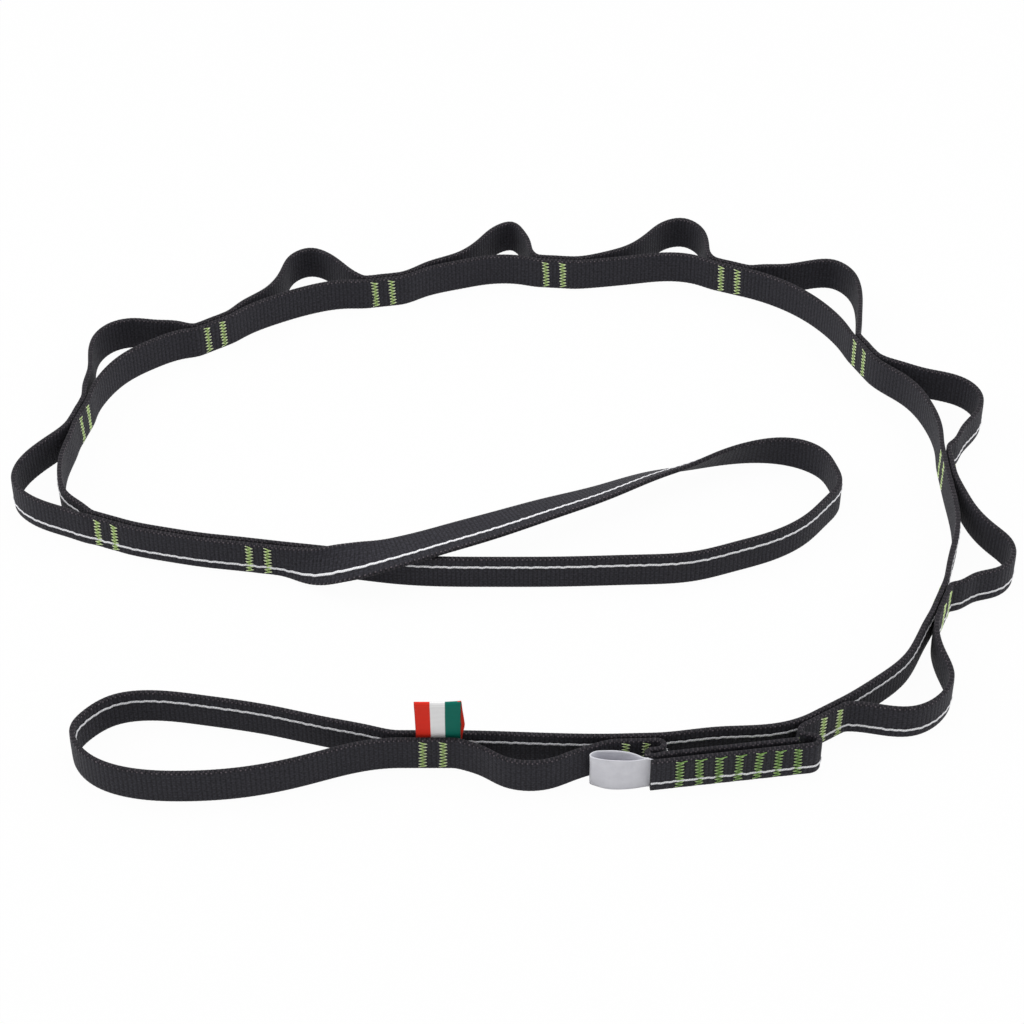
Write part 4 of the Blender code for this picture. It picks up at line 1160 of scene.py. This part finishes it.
def thread_colours(name, light, deep):
    """Bonded polyester sewing thread: a hard twist whose plies catch the light one by one, as a painted
    highlight.
    """
    material, put = new_material(name)
    run = put(ATTRIBUTE, attribute_name="thread_run").outputs["Fac"]
    place = put("ShaderNodeTexCoord").outputs["Object"]
    lint = put(NOISE, {"Vector": place, "Scale": LINT_SCALE, "Detail": 2.0})
    slip = put(MATH, lint, LINT_SLIP, operation="MULTIPLY")
    twist = put(MATH, run, 2 * math.pi / THREAD_PLY, slip, operation="MULTIPLY_ADD")
    ply = swell(put, twist)
    # painted highlight: the turns at the zigzag's tips stand up to the light and are painted toward the
    # light colour, and the middle lies sunk in and keeps the deep green
    tip = put(MATH, put(ATTRIBUTE, attribute_name="tip").outputs["Fac"], 1.5, operation="POWER")
    by_ply = put(MATH, ply, 0.4, 0.6, operation="MULTIPLY_ADD")
    by_tip = put(MATH, tip, 0.9, 0.1, operation="MULTIPLY_ADD")
    share = put(MATH, by_ply, by_tip, operation="MULTIPLY")
    put(SURFACE, put(PRINCIPLED, {
        "Base Color": put(MIX, share, deep, light, data_type="RGBA"),
        "Roughness": 0.48, "Sheen Weight": 0.1,
        "Normal": put(BUMP, {"Height": ply, "Strength": 0.5, "Distance": 0.00008}),
    }))
    return material


@once
def thread_material():
    return thread_colours("tack_thread", colours().thread, colours().thread_deep)


@once
def splice_thread_material():
    return thread_colours("splice_thread", SPLICE_THREAD_HIGHLIGHT, SPLICE_THREAD_DEEP)


@once
def label_material():
    """Woven satin label: pale, faintly shiny, with fine lines and soft creases, and nothing on it."""
    material, put = new_material("label_satin")
    u, v = cloth_place(put, "cloth")
    place = put("ShaderNodeCombineXYZ", u, put(MATH, v, LABEL_CREASE_HEIGHT, operation="MULTIPLY"))
    lines = put(MATH, put(MATH, u, 2 * math.pi / SATIN_LINE, operation="MULTIPLY"), operation="SINE")
    crease = put(NOISE, {
        "Vector": place, "Scale": CREASE_SCALE, "Detail": 3.0, "Roughness": 0.55})
    relief = put(MATH, lines, 0.12, crease, operation="MULTIPLY_ADD")
    put(SURFACE, put(PRINCIPLED, {
        "Base Color": put(MIX, crease, LABEL_SHADE, colours().label, data_type="RGBA"),
        "Roughness": 0.42, "Sheen Weight": 0.2,
        "Normal": put(BUMP, {"Height": relief, "Strength": 0.6, "Distance": 0.0004}),
    }))
    return material


@once
def ribbon_material():
    """Three-colour grosgrain ribbon: fine cross ribs, and a thin darker band along each edge."""
    material, put = new_material("striped_ribbon")
    tone = colours()
    u, v = cloth_place(put, "cloth")
    rib = swell(put, put(MATH, u, 2 * math.pi / RIBBON_RIB, operation="MULTIPLY"))
    folded = put(MATH, u, RIBBON_FOLD_AT, operation="GREATER_THAN")

    # each colour covers what lies past its start, and the last one does on the back leaf alone
    stripes = tone.ribbon_red
    for start, dye, where in (
            (STRIPE_STARTS[0], tone.ribbon_white, 1.0), (STRIPE_STARTS[1], tone.ribbon_green, 1.0),
            (BACK_EDGE_START, tone.ribbon_red, folded)):
        past = put(RANGE, v, start - STRIPE_BLUR, start + STRIPE_BLUR)
        past = put(MATH, past, where, operation="MULTIPLY")
        stripes = put(MIX, past, stripes, dye, data_type="RGBA")

    # painted shade in the valleys between the ribs
    valley_shade = put(MATH, rib, -VALLEY_SHADE_SHARE, VALLEY_SHADE_SHARE, operation="MULTIPLY_ADD")
    # darker within a thin band along each edge
    rim = put(MATH, put(MATH, v, 0.5, operation="SUBTRACT"), operation="ABSOLUTE")
    edge = put(RANGE, rim, *RIBBON_EDGE_BAND, 0.0, RIBBON_EDGE_DARKENING)
    for part, dark in ((valley_shade, RIBBON_VALLEY_SHADE), (edge, RIBBON_EDGE_DARK)):
        stripes = put(MIX, part, stripes, dark, data_type="RGBA")
    put(SURFACE, put(PRINCIPLED, {
        "Base Color": stripes, "Roughness": 0.62, "Specular IOR Level": 0.15,
        "Normal": put(BUMP, {"Height": rib, "Strength": 0.5, "Distance": 0.00008}),
    }))
    return material


def seen_plainly(put):
    """1 for what the camera sees directly, in a gloss or through glass, and 0 for light bounced off."""
    seen = put("ShaderNodeLightPath").outputs
    bent = put(MATH, seen["Is Glossy Ray"], seen["Is Transmission Ray"], operation="MAXIMUM")
    return put(MATH, seen["Is Camera Ray"], bent, operation="MAXIMUM")


@once
def paper_material():
    """Studio paper, nearly white: what the camera sees is mostly its own white, with a soft shadow."""
    material, put = new_material("studio_paper")
    place = put("ShaderNodeTexCoord").outputs["Object"]
    noise = put(NOISE, {"Vector": place, "Scale": PAPER_SCALE})
    paper = put(PRINCIPLED, {
        "Base Color": put(MIX, noise, *PAPER_SHADES, data_type="RGBA"),
        "Roughness": 0.95, "Specular IOR Level": 0.0,
    })
    white = put("ShaderNodeEmission", {"Color": WHITE, "Strength": 1.0})
    share = put(MATH, seen_plainly(put), FLOOR_WHITE, operation="MULTIPLY")
    put(SURFACE, put("ShaderNodeMixShader", share, paper, white))
    return material


# Operators


class DAISY_OT_webbing(bpy.types.Operator):
    """Lays the strip of webbing along its path, one piece for each body and one for each bend"""

    bl_idname = "daisy.webbing"
    bl_label = "Webbing"

    def execute(self, context):
        daisy = sizes()
        for name, (start, end) in plan().strip.stretches.items():
            piece = build_stretch("webbing_" + name + "_flat", start, end)
            piece = grown(piece, rib_tree(), "webbing_" + name, {
                "Rib pitch": daisy.rib_pitch, "Rib depth": daisy.rib_depth,
                "Pick pitch": daisy.rib_pitch, "Pick depth": daisy.pick_depth,
                "Webbing": webbing_material(),
            })
            kind, number = name.split("_")[0], name.split("_")[1]
            if kind == "bend":
                pair = plan().pairs[int(number) - 1]
                ends = [(*map(float, pair.at(pair.hinge + s * BEND_REACH, 0.0)), 0.0) for s in (-1, 1)]
                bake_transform(piece)
            elif kind in ("small", "big"):
                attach(piece, f"{kind}_end_loop_body")
                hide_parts(f"{kind}_end_loop")
            elif kind == "splice":
                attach(piece, body_name(LAP_POCKET + 1))
                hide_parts(name + "_layer")
            else:
                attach(piece, body_name(int(number)))
                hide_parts(name)
        return {"FINISHED"}


class DAISY_OT_bar_tacks(bpy.types.Operator):
    """Sews the two bar tacks of every pair"""

    bl_idname = "daisy.bar_tacks"
    bl_label = "Bar tacks"

    def execute(self, context):
        for pair in plan().pairs:
            for step, letter in ((-1, "a"), (1, "b")):
                code = f"{pair.index + 1:02d}{letter}"
                places = tack_places(pair.at(step * TACK_SPACING / 2, 0.0), pair.heading, pair.stack)
                piece = stitched("stitching_" + code, places, [], thread_material())
                before = step < 0 and pair.index > 0
                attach(piece, body_name(pair.index if before else pair.index + 1))
                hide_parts("bar_tack_" + code)
        return {"FINISHED"}


class DAISY_OT_splice_stitching(bpy.types.Operator):
    """Sews the row of bar tacks through the splice, with the thread that jumps between them"""

    bl_idname = "daisy.splice_stitching"
    bl_label = "Splice stitching"

    def execute(self, context):
        lap = plan().lap
        places, jump = [], []
        for i in range(LAP_TACKS):
            here = tack_places(lap.tack(i), lap.heading, lap.stack)
            places += here
            for ahead, sunk, rise in JUMP_STEPS if i < LAP_TACKS - 1 else JUMP_STEPS[:1]:
                x, y = np.array(here[0][0][:2]) + lap.along * ahead * LAP_TACK_SPACING - lap.out * sunk
                jump.append(((x, y, here[0][0][2] + sizes().tack_length * JUMP_HEIGHT + rise), None))
        first = len(places)
        edges = [(first + i, first + i + 1) for i in range(len(jump) - 1)]
        piece = stitched("splice_stitching", places + jump, edges, splice_thread_material())
        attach(piece, body_name(LAP_POCKET + 1))
        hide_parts("splice_tacks")
        return {"FINISHED"}


class DAISY_OT_label(bpy.types.Operator):
    """Folds the bare label, with its tail between the layers of the splice"""

    bl_idname = "daisy.label"
    bl_label = "Label"

    def execute(self, context):
        daisy, lap = sizes(), plan().lap
        pocket = lap.pocket
        hinge = lap.middle - lap.along * LABEL_HINGE_STANDOFF
        apart = daisy.label_thickness * LABEL_LEAF_APART
        root = hinge - lap.along * daisy.label_thickness / 2
        scale = LABEL_LENGTH / (PITCH * (LAP_START_SHARE[0] - min(u for u, v in LABEL_LOOP_SHARES)))
        anchor = np.array(LAP_START_SHARE)
        points = [root + lap.out * apart]
        points += [pocket.at(anchor + (np.array(s) - anchor) * (scale, 1.0)) for s in LABEL_LOOP_SHARES]
        points.append(root - lap.out * apart)
        loop = spline(points, -lap.along, lap.along)
        tail = [hinge + lap.along * LABEL_TAIL + side * lap.out * apart for side in (1, -1)]
        path = even(np.vstack([[tail[0]], loop, [tail[1]]]), SHEET_STEP)
        left = leftward(path)
        low = (daisy.web_width - daisy.label_height) / 2
        levels = np.linspace(low, low + daisy.label_height, LABEL_ROWS)
        run = np.linspace(0.0, 1.0, len(path))
        inside = np.clip((path - hinge) @ lap.along / (LABEL_TAIL / 3), 0.0, 1.0)
        free = np.clip(np.sin(math.pi * run) ** 2 * 1.6 - 0.5, 0.0, 1.0)
        grid = np.zeros((len(path), len(levels), 3))
        sides = np.zeros_like(grid)
        for j, z in enumerate(levels):
            share = (z - low) / daisy.label_height
            ripple = np.sin(run * LABEL_RIPPLE[0] + share * LABEL_RIPPLE[1])
            ripple += 0.7 * np.sin(share * 5.0 + 1.0)
            grid[:, j, :2] = path + left * (LABEL_WAVE * free * ripple)[:, None]
            grid[:, j, 2] = z - share * LABEL_TAIL_DROP * inside
            sides[:, j, :2] = left
        piece, length = sheet_object("folded_label", grid, sides, daisy.label_thickness)
        piece.data.materials.append(label_material())
        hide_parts("label_tail", "label_loop")
        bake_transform(piece)
        return {"FINISHED"}


class DAISY_OT_tab(bpy.types.Operator):
    """Folds the striped ribbon over, with its tail between the strands at the first pair"""

    bl_idname = "daisy.tab"
    bl_label = "Tab"

    def execute(self, context):
        daisy, pair = sizes(), plan().pairs[0]
        foot = daisy.web_width
        side = [(n, foot + z) for n, z in TAB_ROOT_LEAVES]
        side += [(TAB_FOLD_OPEN * a, foot + daisy.tab_height * b) for a, b in TAB_LEAF_SHARES]
        top = (0.0, foot + daisy.tab_height - daisy.tab_thickness / 2)
        points = side + [top] + [(-n, z) for n, z in side[::-1]]
        path = even(spline(points, (0.0, 1.0), (0.0, -1.0)), TAB_STEP)
        left = leftward(path)
        columns = np.linspace(-0.5, 0.5, TAB_COLUMNS)
        grid = np.zeros((len(path), len(columns), 3))
        sides = np.zeros_like(grid)
        rise = np.clip((path[:, 1] - foot) / daisy.tab_height, 0.0, 1.0)
        back = np.clip(-path[:, 0] / TAB_FOLD_OPEN, 0.0, 1.0)
        # narrower at the root, and the back leaf stands a little to the right
        narrow = TAB_ROOT_WIDTH_SHARE + (1 - TAB_ROOT_WIDTH_SHARE) * rise**1.5
        for j, share in enumerate(columns):
            across = share * daisy.tab_width * narrow
            across += TAB_BACK_SHIFT * back * (1.0 - rise) * (0.4 + 0.6 * (share + 0.5))
            bulge = TAB_WAVE * np.sin(math.pi * rise) * math.sin(share * 5.2 + 0.8)
            n = (path[:, 0] + bulge)[:, None]
            grid[:, j, :2] = pair.at(TAB_OFFSET + across[:, None], n)
            # the fold's right end stands a little higher
            grid[:, j, 2] = path[:, 1] + TAB_CORNER * max(0.0, 2 * share) ** 2 * rise**6
            sides[:, j, :2] = left[:, :1] * pair.out
            sides[:, j, 2] = left[:, 1]
        piece, length = sheet_object("striped_tab", grid, sides, daisy.tab_thickness)
        piece.data.materials.append(ribbon_material())
        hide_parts("tab_tail", "tab_loop")
        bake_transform(piece)
        return {"FINISHED"}


class DAISY_OT_stage(bpy.types.Operator):
    """Sets up the pale floor, the soft light and the camera"""

    bl_idname = "daisy.stage"
    bl_label = "Stage"

    def execute(self, context):
        scene = context.scene
        scene.view_settings.view_transform = "Standard"
        corners = [(x * FLOOR_HALF, y * FLOOR_HALF, 0) for x, y in ((-1, -1), (1, -1), (1, 1), (-1, 1))]
        floor = mesh_object("studio_floor", corners, [(0, 1, 2, 3)])
        floor.data.materials.append(paper_material())

        world = bpy.data.worlds.new("studio")
        scene.world = world
        world.use_nodes = True
        world.node_tree.nodes.clear()
        put = partial(add, world.node_tree)
        soft, white = (
            put("ShaderNodeBackground", {"Color": WHITE, "Strength": strength})
            for strength in (WORLD_LIGHT, 1.0))
        put("ShaderNodeOutputWorld", put("ShaderNodeMixShader", seen_plainly(put), soft, white))

        for name, place, size, power in SOFTBOXES:
            data = bpy.data.lights.new(name, "AREA")
            data.shape, data.size, data.energy = "SQUARE", size, power
            lamp = bpy.data.objects.new(name, data)
            lamp.location = place
            lamp.rotation_euler = (-Vector(place)).to_track_quat("-Z", "Y").to_euler()
            scene.collection.objects.link(lamp)

        tilt = math.radians(CAMERA_ELEVATION_DEG)
        data = bpy.data.cameras.new("photo_camera")
        data.lens, data.sensor_width = CAMERA_LENS_MM, SENSOR_MM
        data.clip_start, data.clip_end = CLIP_RANGE
        camera = bpy.data.objects.new("photo_camera", data)
        camera.location = plan().shift + Vector((
            0.0, -CAMERA_DISTANCE * math.cos(tilt), CAMERA_DISTANCE * math.sin(tilt)))
        camera.rotation_euler = (math.pi / 2 - tilt, 0.0, 0.0)
        scene.collection.objects.link(camera)
        scene.camera = camera
        return {"FINISHED"}


class DAISY_PT_panel(bpy.types.Panel):
    """Lists the chain's steps in the sidebar"""

    bl_idname = "DAISY_PT_panel"
    bl_label = "Daisy Chain"
    bl_space_type = "VIEW_3D"
    bl_region_type = "UI"
    bl_category = "Daisy Chain"

    def draw(self, context):
        layout = self.layout
        for group in (context.scene.daisy_sizes, context.scene.daisy_colours):
            box = layout.box()
            for name in group.__annotations__:
                box.prop(group, name)
        for step in STEPS:
            layout.operator(step.bl_idname)


STEPS = (
    DAISY_OT_webbing, DAISY_OT_bar_tacks, DAISY_OT_splice_stitching, DAISY_OT_label, DAISY_OT_tab,
    DAISY_OT_stage,
)
CLASSES = (DaisySizes, DaisyColours, *STEPS, DAISY_PT_panel)


def register():
    for cls in CLASSES:
        bpy.utils.register_class(cls)
    bpy.types.Scene.daisy_sizes = bpy.props.PointerProperty(type=DaisySizes)
    bpy.types.Scene.daisy_colours = bpy.props.PointerProperty(type=DaisyColours)


def unregister():
    del bpy.types.Scene.daisy_colours
    del bpy.types.Scene.daisy_sizes
    for cls in reversed(CLASSES):
        bpy.utils.unregister_class(cls)


def main():
    register()
    bpy.ops.daisy.webbing()
    bpy.ops.daisy.bar_tacks()
    bpy.ops.daisy.splice_stitching()
    bpy.ops.daisy.label()
    bpy.ops.daisy.tab()
    bpy.ops.daisy.stage()


if __name__ == "__main__":
    main()
